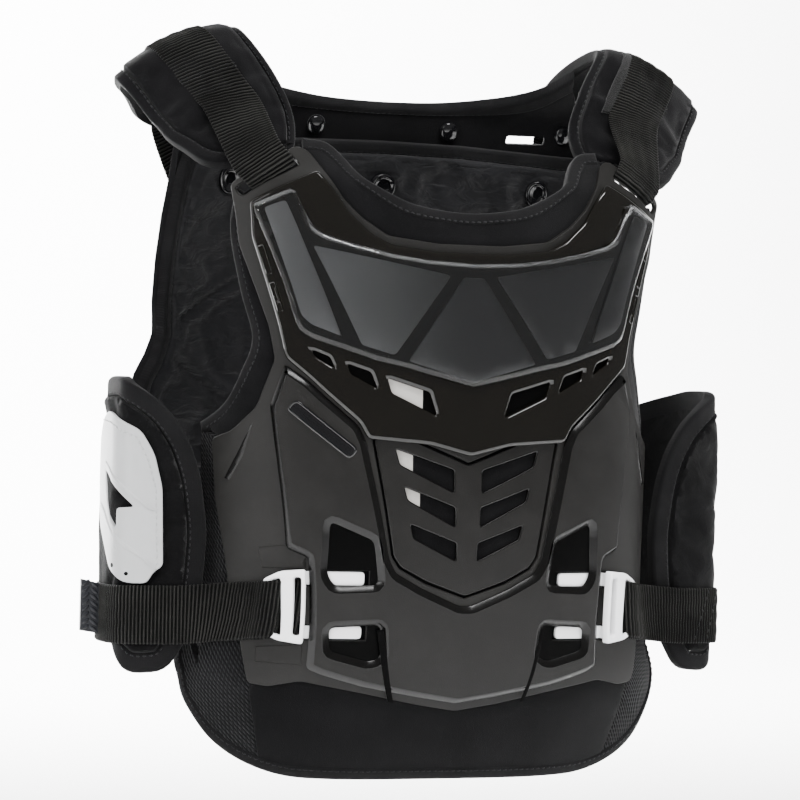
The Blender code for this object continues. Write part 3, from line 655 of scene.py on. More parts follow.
def applyTree(obj, tree, **values):
    # run a geometry nodes tree on an object and keep the result as its plain mesh
    modifier = obj.modifiers.new("build", "NODES")
    modifier.node_group = tree
    ids = {item.name: item.identifier for item in tree.interface.items_tree
           if item.item_type == "SOCKET" and item.in_out == "INPUT"}
    for label, value in values.items():
        modifier[ids[label.replace("_", " ")]] = value
    obj.update_tag()
    graph = bpy.context.evaluated_depsgraph_get()
    graph.update()
    result = bpy.data.meshes.new_from_object(obj.evaluated_get(graph))
    obj.modifiers.clear()
    old = obj.data
    obj.data = result
    bpy.data.meshes.remove(old)
    return obj


def stitchPiece():
    # one stitch: a short rounded thread that dips at both ends
    verts, faces = [], []
    rows, ways = 6, 6
    for r in range(rows + 1):
        t = r / rows * 2 - 1
        thick = 0.00042 * math.sqrt(max(0.05, 1 - t**4))
        for k in range(ways):
            a = 2 * math.pi * k / ways
            verts.append((t * 0.0014, math.cos(a) * thick,
                          math.sin(a) * thick * 0.8 + 0.00022 - 0.0004 * t * t))
    for r in range(rows):
        for k in range(ways):
            a, b = r * ways + k, r * ways + (k + 1) % ways
            faces.append((a, b, b + ways, a + ways))
    faces += [tuple(range(ways))[::-1], tuple(rows * ways + k for k in range(ways))]
    mesh = bpy.data.meshes.new("stitch")
    mesh.from_pydata(verts, [], faces)
    mesh.shade_smooth()
    obj = bpy.data.objects.new("stitch", mesh)
    bpy.context.scene.collection.objects.link(obj)
    outwardFaces(obj)
    return obj


stitchShape = stitchPiece()


def pathMesh(runs):
    # poly lines on surfaces, with the outward direction kept at each point
    verts, edges, lifts = [], [], []
    for mapper, path, height, closed in runs:
        points = np.array(dense([tuple(p) for p in path], 2.0, closed))
        here = mapper(points[:, 0], points[:, 1], height)
        above = mapper(points[:, 0], points[:, 1], height + 1.0)
        start = len(verts)
        verts += [tuple(p) for p in here]
        lifts += [tuple(n) for n in (above - here) / vest["unit"]]
        count = len(points)
        edges += [(start + i, start + (i + 1) % count) for i in range(count if closed else count - 1)]
    mesh = bpy.data.meshes.new("path")
    mesh.from_pydata(verts, edges, [])
    attribute = mesh.attributes.new("lift", "FLOAT_VECTOR", "POINT")
    attribute.data.foreach_set("vector", np.array(lifts, float).ravel())
    obj = bpy.data.objects.new("path", mesh)
    bpy.context.scene.collection.objects.link(obj)
    return obj


def stitchRuns(name, runs, mat, slot, spacing=0.0042, size=1.0, seed=3):
    obj = pathMesh(runs)
    obj.name = name
    applyTree(obj, alongPath, Piece=stitchShape, Spacing=spacing, Size=size, Jitter=0.1, Seed=seed,
              Finish=mat)
    if "lift" in obj.data.attributes:
        obj.data.attributes.remove(obj.data.attributes["lift"])
    return finishPiece(obj, slot)


# shader groups
def buildFiberGroup():
    tree, into, out = makeTree("fiberNap", "ShaderNodeTree", [
        ("Place", "NodeSocketVector", None), ("Scale", "NodeSocketFloat", 900.0),
        ("Speckle", "NodeSocketFloat", 0.6)], [("Height", "NodeSocketFloat"), ("Mask", "NodeSocketFloat")])
    fine = makeNode(tree, "ShaderNodeTexNoise",
                    {"Vector": into.outputs["Place"], "Scale": into.outputs["Scale"], "Detail": 3.0,
                     "Roughness": 0.65})
    broad = makeNode(tree, "ShaderNodeTexNoise",
                     {"Vector": into.outputs["Place"], "Scale": 28.0, "Detail": 4.0})
    speck = makeNode(tree, "ShaderNodeMapRange",
                     {"Value": fine.outputs[0], "From Min": 0.52, "From Max": 0.75})
    cloud = makeNode(tree, "ShaderNodeMapRange",
                     {"Value": broad.outputs[0], "From Min": 0.35, "From Max": 0.7})
    both = mathNode(tree, "MULTIPLY", speck.outputs[0], into.outputs["Speckle"])
    mask = mathNode(tree, "MULTIPLY_ADD", cloud.outputs[0], 0.35, both)
    fillNode(tree, out, {"Height": fine.outputs[0], "Mask": mask})
    return tree


def buildWeaveGroup():
    tree, into, out = makeTree("threadWeave", "ShaderNodeTree", [
        ("Flat", "NodeSocketVector", None), ("Pitch", "NodeSocketFloat", 0.0009),
        ("Slant", "NodeSocketFloat", 0.5)], [("Height", "NodeSocketFloat"), ("Mask", "NodeSocketFloat")])
    split = makeNode(tree, "ShaderNodeSeparateXYZ", {0: into.outputs["Flat"]})
    across = mathNode(tree, "DIVIDE", split.outputs[0], into.outputs["Pitch"])
    along = mathNode(tree, "DIVIDE", split.outputs[1], into.outputs["Pitch"])
    skew = mathNode(tree, "MULTIPLY", across, into.outputs["Slant"])
    first = mathNode(tree, "SINE", mathNode(tree, "MULTIPLY", mathNode(tree, "ADD", along, skew),
                                            2 * math.pi))
    second = mathNode(tree, "SINE", mathNode(tree, "MULTIPLY", across, 2 * math.pi))
    cross = mathNode(tree, "MULTIPLY", first, mathNode(tree, "MULTIPLY_ADD", second, 0.4, 0.6))
    height = mathNode(tree, "MULTIPLY_ADD", cross, 0.5, 0.5)
    # painted highlight: the mask is lighter where the threads stand high
    mask = makeNode(tree, "ShaderNodeMapRange", {"Value": height, "From Min": 0.45, "From Max": 0.95})
    fillNode(tree, out, {"Height": height, "Mask": mask.outputs[0]})
    return tree


def buildGrainGroup():
    tree, into, out = makeTree("mouldGrain", "ShaderNodeTree", [
        ("Place", "NodeSocketVector", None), ("Scale", "NodeSocketFloat", 1400.0),
        ("Dust", "NodeSocketFloat", 0.3)], [("Height", "NodeSocketFloat"), ("Mask", "NodeSocketFloat")])
    cells = makeNode(tree, "ShaderNodeTexVoronoi",
                     {"Vector": into.outputs["Place"], "Scale": into.outputs["Scale"]})
    broad = makeNode(tree, "ShaderNodeTexNoise",
                     {"Vector": into.outputs["Place"], "Scale": 35.0, "Detail": 6.0, "Roughness": 0.6})
    specks = makeNode(tree, "ShaderNodeTexNoise",
                      {"Vector": into.outputs["Place"], "Scale": 700.0, "Detail": 2.0})
    thin = makeNode(tree, "ShaderNodeMapRange",
                    {"Value": specks.outputs[0], "From Min": 0.62, "From Max": 0.8})
    wide = makeNode(tree, "ShaderNodeMapRange",
                    {"Value": broad.outputs[0], "From Min": 0.45, "From Max": 0.75})
    mask = mathNode(tree, "MULTIPLY", mathNode(tree, "ADD", thin.outputs[0], wide.outputs[0]),
                    into.outputs["Dust"])
    fillNode(tree, out, {"Height": cells.outputs["Distance"], "Mask": mask})
    return tree


fiberNap, threadWeave, mouldGrain = buildFiberGroup(), buildWeaveGroup(), buildGrainGroup()


def startMaterial(name):
    mat = bpy.data.materials.new(name)
    mat.use_nodes = True
    tree = mat.node_tree
    return mat, tree, tree.nodes["Principled BSDF"]


def mixColor(tree, factor, low, high):
    colors = {0: factor, 6: (*low, 1), 7: (*high, 1)}
    return makeNode(tree, "ShaderNodeMix", colors, data_type="RGBA").outputs[2]


def clothFinish(name, dark, light, rough, napScale, napDepth, pitch=0.0, weaveDepth=0.0, slant=0.5,
                speckle=0.6, sheen=0.15, weaveHighlight=0.5, crinkle=0.0, ribPitch=0.0, shine=0.08, stretch=1.0):
    mat, tree, shader = startMaterial(name)
    place = makeNode(tree, "ShaderNodeTexCoord").outputs["Object"]
    nap = makeNode(tree, "ShaderNodeGroup", {"Place": place, "Scale": napScale, "Speckle": speckle},
                   node_tree=fiberNap)
    mask, height = nap.outputs["Mask"], mathNode(tree, "MULTIPLY", nap.outputs["Height"], napDepth)
    if pitch:
        flat = makeNode(tree, "ShaderNodeUVMap", uv_map="surface").outputs[0]
        weave = makeNode(tree, "ShaderNodeGroup", {"Flat": flat, "Pitch": pitch, "Slant": slant},
                         node_tree=threadWeave)
        height = mathNode(tree, "ADD", height,
                          mathNode(tree, "MULTIPLY", weave.outputs["Height"], weaveDepth))
        # the weave mask adds a painted highlight on the thread tops
        mask = mathNode(tree, "ADD", mask, mathNode(tree, "MULTIPLY", weave.outputs["Mask"], weaveHighlight))
    # painted highlight: the lighter colour is kept to the crest of each rib
    if ribPitch:
        turns = mathNode(tree, "MULTIPLY", makeNode(tree, "ShaderNodeSeparateXYZ", {0: flat}).outputs[1],
                         2 * math.pi / ribPitch)
        ribHighlight = mathNode(tree, "MULTIPLY_ADD", mathNode(tree, "COSINE", turns), 0.5, 0.5)
        mask = mathNode(tree, "MULTIPLY", mask, mathNode(tree, "POWER", ribHighlight, 2.2))
    if crinkle:
        squash = makeNode(tree, "ShaderNodeVectorMath", {0: place, 1: (0.85, 0.85, stretch)},
                          operation="MULTIPLY")
        folds = makeNode(tree, "ShaderNodeTexNoise",
                         {"Vector": squash.outputs[0], "Scale": 55.0, "Detail": 3.0, "Distortion": 1.2})
        height = mathNode(tree, "ADD", height, mathNode(tree, "MULTIPLY", folds.outputs[0], crinkle))
    bump = makeNode(tree, "ShaderNodeBump", {"Height": height, "Distance": 1.0, "Strength": 1.0})
    fillNode(tree, shader, {"Base Color": mixColor(tree, mask, dark, light), "Normal": bump.outputs[0],
                            "Roughness": rough, "Sheen Weight": sheen, "Sheen Roughness": 0.5,
                            "Specular IOR Level": shine})
    return mat


def plasticFinish(name, dark, light, rough, grainScale=1400.0, grainDepth=0.00003, dust=0.3, coat=0.0,
                  spread=0.12, shine=0.5, paintedReflection=None):
    mat, tree, shader = startMaterial(name)
    place = makeNode(tree, "ShaderNodeTexCoord").outputs["Object"]
    grain = makeNode(tree, "ShaderNodeGroup", {"Place": place, "Scale": grainScale, "Dust": dust},
                     node_tree=mouldGrain)
    height = mathNode(tree, "MULTIPLY", grain.outputs["Height"], grainDepth)
    bump = makeNode(tree, "ShaderNodeBump", {"Height": height, "Distance": 1.0, "Strength": 1.0})
    color = mixColor(tree, grain.outputs["Mask"], dark, light)
    if paintedReflection:
        # painted reflection: base colour lightened from one drawn x towards another
        near, far, gain = paintedReflection
        split = makeNode(tree, "ShaderNodeSeparateXYZ", {0: place})
        across = makeNode(tree, "ShaderNodeMapRange", {0: split.outputs[0], 1: near * vest["unit"],
                                                       2: far * vest["unit"], 3: 1.0, 4: gain},
                          interpolation_type="SMOOTHSTEP")
        color = makeNode(tree, "ShaderNodeVectorMath", {0: color, "Scale": across.outputs[0]},
                         operation="SCALE").outputs[0]
    rougher = mathNode(tree, "MULTIPLY_ADD", grain.outputs["Mask"], spread, rough)
    fillNode(tree, shader, {"Base Color": color, "Roughness": rougher, "Normal": bump.outputs[0],
                            "Specular IOR Level": shine, "Coat Weight": coat, "Coat Roughness": 0.05})
    return mat


finishes = {
    "shell": plasticFinish("grainedShell", (0.0066, 0.0063, 0.0059), (0.0165, 0.0160, 0.0152), 0.42, 1300,
                           0.00006, 0.35, shine=0.24),
    # edge: painted shade, a darker glossy copy of the shell plastic for the shell and vent bevels and the
    # plate creases
    "edge": plasticFinish("burnishedEdge", (0.002, 0.0019, 0.0018), (0.005, 0.0047, 0.0045), 0.2, 1300,
                          0.00001, 0.3, shine=0.4),
    "rim": plasticFinish("matteRim", (0.0088, 0.0085, 0.0080), (0.0195, 0.0187, 0.0178), 0.5, 1500, 0.00005,
                         0.3, shine=0.24),
    "gloss": plasticFinish("glossBezel", (0.0030, 0.0026, 0.0019), (0.007, 0.006, 0.005), 0.07, 60, 0.0,
                           0.12, 0.35),
    # insert: the base colour is lightened towards one side as a painted reflection
    "insert": plasticFinish("grayInsert", (0.021, 0.021, 0.0212), (0.030, 0.030, 0.0303), 0.35, 2500,
                            0.00002, 0.2, paintedReflection=(0, -95, 4.8)),
    # pocket: near-black painted shade for recesses, grooves and holes
    "pocket": plasticFinish("darkPocket", (0.001, 0.001, 0.001), (0.003, 0.003, 0.003), 0.35, 900, 0.0, 0.2,
                            shine=0.04),
    "pale": plasticFinish("paleBacking", (0.40, 0.385, 0.36), (0.30, 0.295, 0.28), 0.5, 500, 0.0001, 0.3),
    "buckle": plasticFinish("buckleWhite", (0.93, 0.93, 0.94), (0.86, 0.86, 0.87), 0.3, 900, 0.00001, 0.15),
    "white": plasticFinish("whitePlastic", (0.40, 0.405, 0.41), (0.33, 0.33, 0.335), 0.34, 900, 0.00003,
                           0.3),
    "button": plasticFinish("glossButton", (0.003, 0.003, 0.0035), (0.015, 0.015, 0.015), 0.1, 400, 0.0, 0.1,
                            0.5),
    "rubber": plasticFinish("blackRubber", (0.009, 0.0095, 0.012), (0.028, 0.028, 0.03), 0.45, 1800, 0.00005,
                            0.4),
    "neoprene": clothFinish("neoprene", (0.0012, 0.0012, 0.0014), (0.0064, 0.0062, 0.0069), 0.92, 1500,
                            0.00025, speckle=0.7, sheen=0.08),
    "twill": clothFinish("bindingTwill", (0.0028, 0.0028, 0.0030), (0.0105, 0.0103, 0.0108), 0.85, 1800,
                         0.0001, 0.0011, 0.00012, 1.0, sheen=0.05),
    "satin": clothFinish("quiltedSatin", (0.0034, 0.0034, 0.0039), (0.0085, 0.0085, 0.0098), 0.52, 1200,
                         0.00003, 0.0006, 0.00003, 0.5, 0.3, 0.10, 0.3, 0.0022, shine=0.25, stretch=2.0),
    "suede": clothFinish("flankSuede", (0.0014, 0.0014, 0.0015), (0.0075, 0.0074, 0.0079), 0.95, 1100,
                         0.0002, speckle=0.5, sheen=0.06, crinkle=0.0012),
    "mesh": clothFinish("spacerMesh", (0.0018, 0.0018, 0.002), (0.0125, 0.0123, 0.0135), 0.9, 1500, 0.0001,
                        0.0031, 0.0011, 1.0, 0.4, 0.05, 0.7),
    # web: the light colour is the painted highlight on the threads and rib crests
    "web": clothFinish("strapWebbing", (0.0008, 0.0008, 0.0008), (0.046, 0.046, 0.042), 0.45, 2200, 0.00006,
                       0.00085, 0.0001, 2.0, 0.35, 0.02, 0.6, ribPitch=0.0024),
    "hook": clothFinish("hookStrip", (0.0012, 0.0012, 0.0012), (0.0045, 0.0045, 0.0045), 0.95, 3000, 0.0006),
    "thread": clothFinish("thread", (0.0030, 0.0030, 0.0035), (0.013, 0.013, 0.0145), 0.6, 4000, 0.00003),
}


def clearFinish():
    mat, tree, shader = startMaterial("clearLens")
    fillNode(tree, shader, {"Base Color": (0.97, 0.98, 0.99, 1), "Roughness": 0.03,
                            "Transmission Weight": 1.0, "IOR": 1.46})
    return mat


finishes["clear"] = clearFinish()
print("finishes made")


# front liner: neoprene, side mesh and its bindings
liner = {
    "neckEdge": [(0, 371), (20, 372.5), (40, 376), (57, 384), (73, 397.5), (82, 411), (91, 419), (106, 421)],
    "armEdge": [(153, 381), (156, 366), (156, 352), (149, 314), (142, 283), (147, 265), (156, 242),
                (166, 229)],
    "hemEdge": [(181, 108), (180, 84), (178, 64), (175, 48), (168, 34), (158, 20.5), (144, 9), (125, -0.5),
                (105, -6), (80, -8), (0, -8.5)],
    "meshLine": [(156, 217), (150, 150), (146, 124), (137, 62), (127, 13)],
    "tape": 8.5, "step": 5.0,
}


def wavy(scale, depth, seed=0.0):
    # slow unevenness of hand-sewn cloth
    def relief(u, v):
        return np.array([noise.noise(Vector((a * scale, b * scale, seed))) for a, b in zip(u, v)]) * depth
    return relief


def smoothPath(path, step=4.0):
    return flowing(path, step)


def tapeRing(path, width):
    return list(path) + list(reversed(shifted(path, width)))


def binding(name, path, width, mapper, low, high, slot, node, closed=False, roll=2.4, stitchIn=None,
            seed=3, finish="twill"):
    # folded tape with a rolled edge and one run of stitches near its inner side
    if closed:
        rings = [path, shifted(path, width, True)]
    else:
        rings = [tapeRing(path, width)]
    piece = sheetPiece(name, rings, rim(low, high, roll), mapper, finishes[finish], 2.6,
                       wavy(0.12, 0.5, seed))
    finishPiece(piece, slot, node)
    inner = stitchIn if stitchIn is not None else width * 0.78
    run = shifted(path, inner, closed)
    if not closed:
        run = run[1:-1]
    stitchRuns(name + "Stitches", [(mapper, run, high - 0.1, closed)], finishes["thread"], slot, seed=seed)


neckPath = frontArc(smoothPath(openPath(liner["neckEdge"])))
hemPath = frontArc(smoothPath(openPath(liner["hemEdge"][::-1])))
armPath = frontArc(smoothPath(liner["armEdge"]))
gap = liner["tape"] - 3.0  # the cloth runs on under its binding
linerNeck, linerArm, linerHem = shifted(neckPath, -gap), shifted(armPath, -gap), shifted(hemPath, gap)
meshLine = frontArc(liner["meshLine"])
linerHalf = [(0.0, linerNeck[len(linerNeck) // 2][1])] + [p for p in linerNeck if p[0] > 0.01]
linerHalf += frontArc([(113, 404)]) + linerArm[:-1]
linerHalf += [meshLine[0]] + [(p[0] + 1.2, p[1]) for p in meshLine[1:-1]]
linerHalf += [p for p in reversed(linerHem) if 0.01 < p[0] < meshLine[-1][0] + 1.0]
linerHalf += [(0.0, linerHem[len(linerHem) // 2][1])]
frontCloth = sheetPiece("frontNeoprene", [bothSides(linerHalf)],
                        rim(layers["linerIn"], layers["linerOut"], 0.8),
                        frontMap, finishes["neoprene"], liner["step"], wavy(0.03, 0.5))
finishPiece(frontCloth, "front_liner", "front_liner")
meshHalf = [(p[0] + 0.5, p[1]) for p in meshLine] + frontArc([(123.5, 5.0)])
meshHalf += [p for p in linerHem if p[0] > meshLine[-1][0] + 0.7]
meshHalf += frontArc([(168, 70), (168, 150)]) + [linerArm[-1]]
for side, tag in ((-1, "right"), (1, "left")):
    flip = (lambda ring: list(ring)) if side > 0 else mirrored
    piece = sheetPiece("sideMesh_" + tag, [flip(meshHalf)],
                       rim(layers["linerIn"] + 0.5, layers["linerOut"] - 0.5, 0.8),
                       frontMap, finishes["mesh"], 4.0)
    finishPiece(piece, "side_mesh_" + tag, "side_mesh_" + tag)
    arm = armPath if side > 0 else [(-u, v) for u, v in armPath]
    binding("armBinding_" + tag, arm, -liner["tape"] * side, frontMap, layers["linerIn"] - 1,
            layers["linerOut"] + 0.2, "arm_tape_" + tag, "arm_tape_" + tag, seed=5 + side)
binding("neckBinding", neckPath, -liner["tape"], frontMap, layers["linerIn"] - 1, layers["linerOut"] + 1,
        "neck_tape", "neck_tape", seed=11)
binding("hemBinding", hemPath, liner["tape"], frontMap, layers["linerIn"] - 1, layers["linerOut"] + 1,
        "hem_tape", "hem_tape", seed=12)
print("front liner made")

# hard chest parts
chest = {
    "plateHalf": [(0, 349), (23, 349), (57, 353), (74, 364), (87, 377), (98, 398), (104, 410), (110, 413),
                  (115, 412), (153, 387), (155, 383), (149, 345), (131, 293), (127, 271), (137, 240),
                  (150, 224), (159, 219), (157, 180), (150, 125), (142, 80), (138, 60), (126, 58), (106, 62),
                  (64, 54), (28, 46.5), (0, 42)],
    "strapSlot": ((132.5, 391.5), (40, -27), 45, 7.8),
    "wellHalf": [(0, 207), (50, 227), (66.5, 224), (52, 145), (46.5, 137), (28, 127), (0, 117.5)],
    "latchRows": ((124.8, 135.2), (89.8, 99.6)),
    "shellHalf": [(0, 112.8), (4.5, 113), (30, 124), (48.5, 134), (53.5, 143), (70, 219), (75, 229.5),
                  (96, 247.5), (107, 258), (121, 268), (129, 241), (118, 149), (104.6, 143), (103, 71),
                  (94, 67), (66, 59), (28, 52), (0, 47.5)],
    "windowUpper": [(92, 167), (93, 133), (88, 125), (60, 126.5), (64, 155)],
    "windowLower": [(90, 98), (89, 83), (63, 76), (55.5, 79), (57, 100)],
    "pockets": [[(95.5, 171), (96.3, 135.6), (65.6, 135.6), (65.6, 122), (56.5, 122), (61, 158)],
                [(93, 89.4), (92.3, 80), (63, 72.5), (52, 77), (53.5, 103), (65.6, 103), (65.6, 89.4)]],
    "creases": [[(138.5, 230), (147, 208), (152.5, 193), (150, 192), (143.5, 208)],
                [(-138.5, 230), (-147, 208), (-152.5, 193), (-150, 192), (-143.5, 208)]],
    "grooves": [[(-59.5, 97), (-55, 98), (-44.5, 49.5), (-48.5, 50.5)], [(57.5, 97), (55, 98), (44.5, 49.5),
                (47, 50)]],
    "patches": [[(-134, 149), (-106, 153), (-106, 136), (-132, 136)], [(-134, 85), (-106, 87), (-106, 73),
                (-134, 75)]],
    "sideSlots": [((132.6, 335.5), (5.8, 19.5), 20, 3.6), ((125.8, 311.5), (5.8, 19.5), 20, 3.6)],
    "ventHalf": [(0, 205.5), (49, 225), (64.6, 221.2), (50.5, 145), (45.5, 138), (27, 128.5), (0, 119)],
    "chevrons": [[(50, 215), (10, 202), (10, 187.5), (47, 205)],
                 [(44, 190.5), (9, 177.5), (9, 165), (41.5, 182)],
                 [(39.5, 166), (7.5, 154), (7.5, 142.5), (37, 157)]],
    "bezelHalf": [(0, 343.5), (25, 343.5), (55, 347), (69, 354), (83, 367), (92, 381), (102, 395),
                  (143, 373.5), (141, 350), (124.5, 293), (120, 272), (106, 259.5), (95, 249), (74.5, 231),
                  (69, 221), (28, 218), (0, 211)],
    "bezelVents": [[(24, 237), (29, 252), (57, 260.5), (54, 251)],
                   [(64, 254), (68, 264), (83, 269), (81, 263)],
                   [(91, 266.5), (94, 273), (105, 277.5), (103, 274)]],
    "lensHalf": [(0, 336), (31, 337.5), (56, 341), (80, 346.5), (98, 352), (105, 356.5), (111, 368),
                 (117, 380.5), (120, 381), (140, 371.5), (139, 366), (122, 322), (115, 298), (112, 290),
                 (105, 285), (86, 278.5), (65, 271.5), (44, 267), (29, 263), (0, 256)],
    "narrowInsert": [(122, 374), (134, 369), (118, 323), (111, 300), (105, 294), (87, 287)],
    "largeInsert": [(105, 345), (16, 328), (53, 275.5), (74, 281.5)],
    "centerInsert": [(0, 327), (7, 327), (44, 272), (0, 259)],
    "underBezel": [(0, 340), (60, 344), (84, 362), (100, 390), (140, 371), (122, 293), (117, 274), (92, 252),
                   (66, 225), (0, 215)],
    "paleBacks": [([(53, 219), (38, 219), (38, 196), (53, 196)], -7.75),
                  ([(46, 193), (33, 193), (33, 172), (46, 172)], -7.75),
                  ([(57, 262), (33, 262), (33, 234), (57, 234)], -3.4)],
    "badge": ((-97, 226.5), (40, -33), 50, 9),
    "step": 6.0,
}


def tiltedSlot(center, along, length, width, ease=0.4, steps=3):
    d = Vector(along).normalized()
    n = Vector((-d.y, d.x))
    c = Vector(center)
    corners = [c - d * length / 2 - n * width / 2, c + d * length / 2 - n * width / 2,
               c + d * length / 2 + n * width / 2, c - d * length / 2 + n * width / 2]
    return rounded([tuple(p) for p in corners], width * ease, steps)


def eased(half, radius=4.0, steps=3):
    return frontArc(rounded(bothSides(half), radius, steps))


def openings(rings, radius=0.0, steps=3):
    # each ring on the left and, mirrored, on the right
    done = []
    for ring in rings:
        ring = rounded(ring, radius, steps) if radius else ring
        done += [frontArc(ring), frontArc(mirrored(ring))]
    return done


def panel(name, node, rings, profile, finish, mapper=frontMap, step=chest["step"], **more):
    # sheet that stands for one node, which it hides
    finishPiece(sheetPiece(name, rings, profile, mapper, finishes[finish], step, **more), node, node)


plateRings = [eased(chest["plateHalf"], 3.0), frontArc(bothSides(chest["wellHalf"]))]
latchHoles = [[(66, lo), (109.5, lo), (109.5, hi), (66, hi)] for lo, hi in chest["latchRows"]]
plateRings += openings([tiltedSlot(*chest["strapSlot"])] + latchHoles)
panel("chestPlateRim", "front_plate", plateRings, rim(layers["plateIn"], layers["plateOut"], 0.9), "rim",
      crisp=True)

shellRings = [eased(chest["shellHalf"], 2.5, 2)] + openings([chest["windowUpper"], chest["windowLower"]], 4)
shellEdge = [(0, layers["shellIn"]), (0, -3.1), (0.2, -2.9), (3.6, -0.35), (4.2, -0.06), (4.7, 0.0)]
# the shell's bevels take the edge finish: painted shade
panel("chestShellSkin", "chest_shell", shellRings, shellEdge, "shell", edgeMat=finishes["edge"], crisp=True)

ventRings = [eased(chest["ventHalf"], 2.0, 2)] + openings(chest["chevrons"], 1.5, 2)
# the vent panel's bevels take the edge finish: painted shade
panel("ventPanelSkin", "vent_panel", ventRings, rim(layers["ventIn"], layers["ventOut"], 0.9), "shell",
      edgeMat=finishes["edge"], crisp=True)

# painted shade: near-black sheets under the windows and the bezel stand for the shade in these recesses, and
# pale backing seen through the vents on one side
parts = [sheetPiece("pocket", [frontArc(ring if turned > 0 else mirrored(ring))], [(0, -3.95), (0, -3.5)],
                    frontMap, finishes["pocket"], 8.0) for turned in (1, -1) for ring in chest["pockets"]]
parts.append(sheetPiece("pocket", [frontArc(bothSides(chest["underBezel"]))], [(0, -3.95), (0, -3.5)],
                        frontMap, finishes["pocket"], 8.0))
finishPiece(joined("windowPockets", parts), "front_plate")
parts = [sheetPiece("pale", [frontArc(mirrored(ring))], [(0, low), (0, low + 0.35)], frontMap,
                    finishes["pale"], 8.0)
         for ring, low in chest["paleBacks"]]
finishPiece(joined("paleBacking", parts), "front_liner")


def strips(name, rings, profile, mat, node, mapper=frontMap, step=3.0):
    # small raised or sunk patches on a surface, as one piece
    finishPiece(joined(name, [sheetPiece("patch", [ring], profile, mapper, mat, step) for ring in rings]),
                node)


# painted shade: dark glossy strips along the plate's folds stand for the shadow side of each fold
strips("plateCreases", [frontArc(ring) for ring in chest["creases"]],
       [(0, layers["plateOut"] - 0.6), (0, layers["plateOut"]), (0.9, layers["plateOut"] + 0.35)],
       finishes["edge"], "front_plate")
# painted shade: the grooves take the near-black recess finish
strips("shellGrooves", [frontArc(ring) for ring in chest["grooves"]],
       [(0, -0.6), (0, 0.02), (0.5, 0.12)], finishes["pocket"], "chest_shell")
strips("plateRecesses", [frontArc(ring) for ring in chest["patches"]],
       [(0, layers["plateOut"] - 0.6), (0, layers["plateOut"] + 0.1), (0.4, layers["plateOut"] + 0.6)],
       finishes["rim"], "front_plate")
sideSlots = [frontArc(turn(tiltedSlot(*slot))) for slot in chest["sideSlots"] for turn in (list, mirrored)]
strips("bezelSlots", sideSlots, [(0, layers["bezelOut"] - 0.6), (0, layers["bezelOut"] + 0.1),
                                 (0.3, layers["bezelOut"] + 0.45), (0.7, layers["bezelOut"] + 0.4),
                                 (1.0, layers["bezelOut"] + 0.05)], finishes["gloss"], "chest_bezel",
       step=2.0)
bezelRings = [eased(chest["bezelHalf"], 3.0)] + openings(chest["bezelVents"], 1.5, 2)
bezelEdge = [(0, layers["shellIn"]), (0, -1.2), (0.35, -0.5), (1.6, 0.2), (2.4, layers["bezelOut"])]
panel("bezelSkin", "chest_bezel", bezelRings, bezelEdge, "gloss", crisp=True)

lensEdge = [(0, layers["lensIn"]), (0, 3.0), (0.6, 3.5), (2.6, 4.5), (3.4, layers["lensOut"])]
panel("clearLensSkin", "chest_lens", [eased(chest["lensHalf"], 3.0)], lensEdge, "clear", crisp=True)
insertEdge = rim(layers["insertIn"], layers["insertOut"], 0.4, 2)
for side, tag in ((-1, "right"), (1, "left")):
    for key, label in (("narrowInsert", "outer"), ("largeInsert", "inner")):
        ring = chest[key] if side > 0 else mirrored(chest[key])
        panel("insert_%s_%s" % (label, tag), "lens_insert_%s_%s" % (label, tag),
              [frontArc(rounded(ring, 2.0, 2))], insertEdge, "insert", step=8.0)
panel("insert_center", "lens_insert_center", [eased(chest["centerInsert"], 2.0, 2)], insertEdge, "insert",
      step=8.0)
badgeEdge = [(0, 0.4), (0, 0.9), (0.35, 1.25), (0.9, 1.4), (1.3, 1.25), (1.5, 1.0), (2.2, 1.0)]
panel("badgeSkin", "oval_badge", [frontArc(tiltedSlot(*chest["badge"], 0.48, 6))], badgeEdge, "button",
      step=3.0)
print("chest parts made")

# back: plate, liner, collar, quilted pad, snaps and grommets
backParts = {
    "plateHalf": [(0, 392), (60, 394), (92, 402), (110, 413), (115, 412), (153, 387), (155, 383), (150, 345),
                  (143, 300), (140, 271), (148, 236), (150, 180), (144, 100), (130, 76), (64, 62), (0, 58)],
    "collarEdge": [(0, 461), (40, 462.5), (75, 467), (96, 471), (111, 476), (126, 487)],
    "linerSide": [(141, 468), (152, 450), (159, 422), (162, 398), (167, 370), (169, 340), (169, 312),
                  (166, 290), (172, 275), (180, 262), (184, 240), (184, 100), (166, 72), (110, 60), (0, 54)],
    "collarSlot": [(95, 434.5), (124, 434.5), (124, 440), (95, 440)],
    "padEdge": [(0, 433), (60, 432), (104, 429), (152, 425), (164, 398), (171, 368), (173, 340), (173, 312),
                (170, 290), (176, 272), (184, 260), (188, 240), (188, 100), (168, 70), (110, 58), (0, 52)],
    "snaps": [(-137, "far_right"), (-50, "right"), (50, "left"), (137, "far_left")], "snapHeight": 441,
    "grommets": [(-120, 401, "right"), (0, 402, "middle"), (120, 401, "left")],
    "collarTape": 10.0, "padTape": 10.0,
}
backPlateRings = [backArc(rounded(bothSides(backParts["plateHalf"]), 4, 3)),
                  backArc(tiltedSlot(*chest["strapSlot"])),
                  backArc(mirrored(tiltedSlot(*chest["strapSlot"])))]
panel("backPlateSkin", "back_plate", backPlateRings, rim(layers["backPlateIn"], layers["backPlateOut"], 0.9),
      "shell", backMap, 8.0)
collarPath = backArc(smoothPath(openPath(backParts["collarEdge"])))
collarInner = shifted(collarPath, -backParts["collarTape"] + 3.0)
backHalf = [(0, collarInner[len(collarInner) // 2][1])] + [p for p in collarInner if p[0] > 0.01]
backHalf += backArc(backParts["linerSide"])
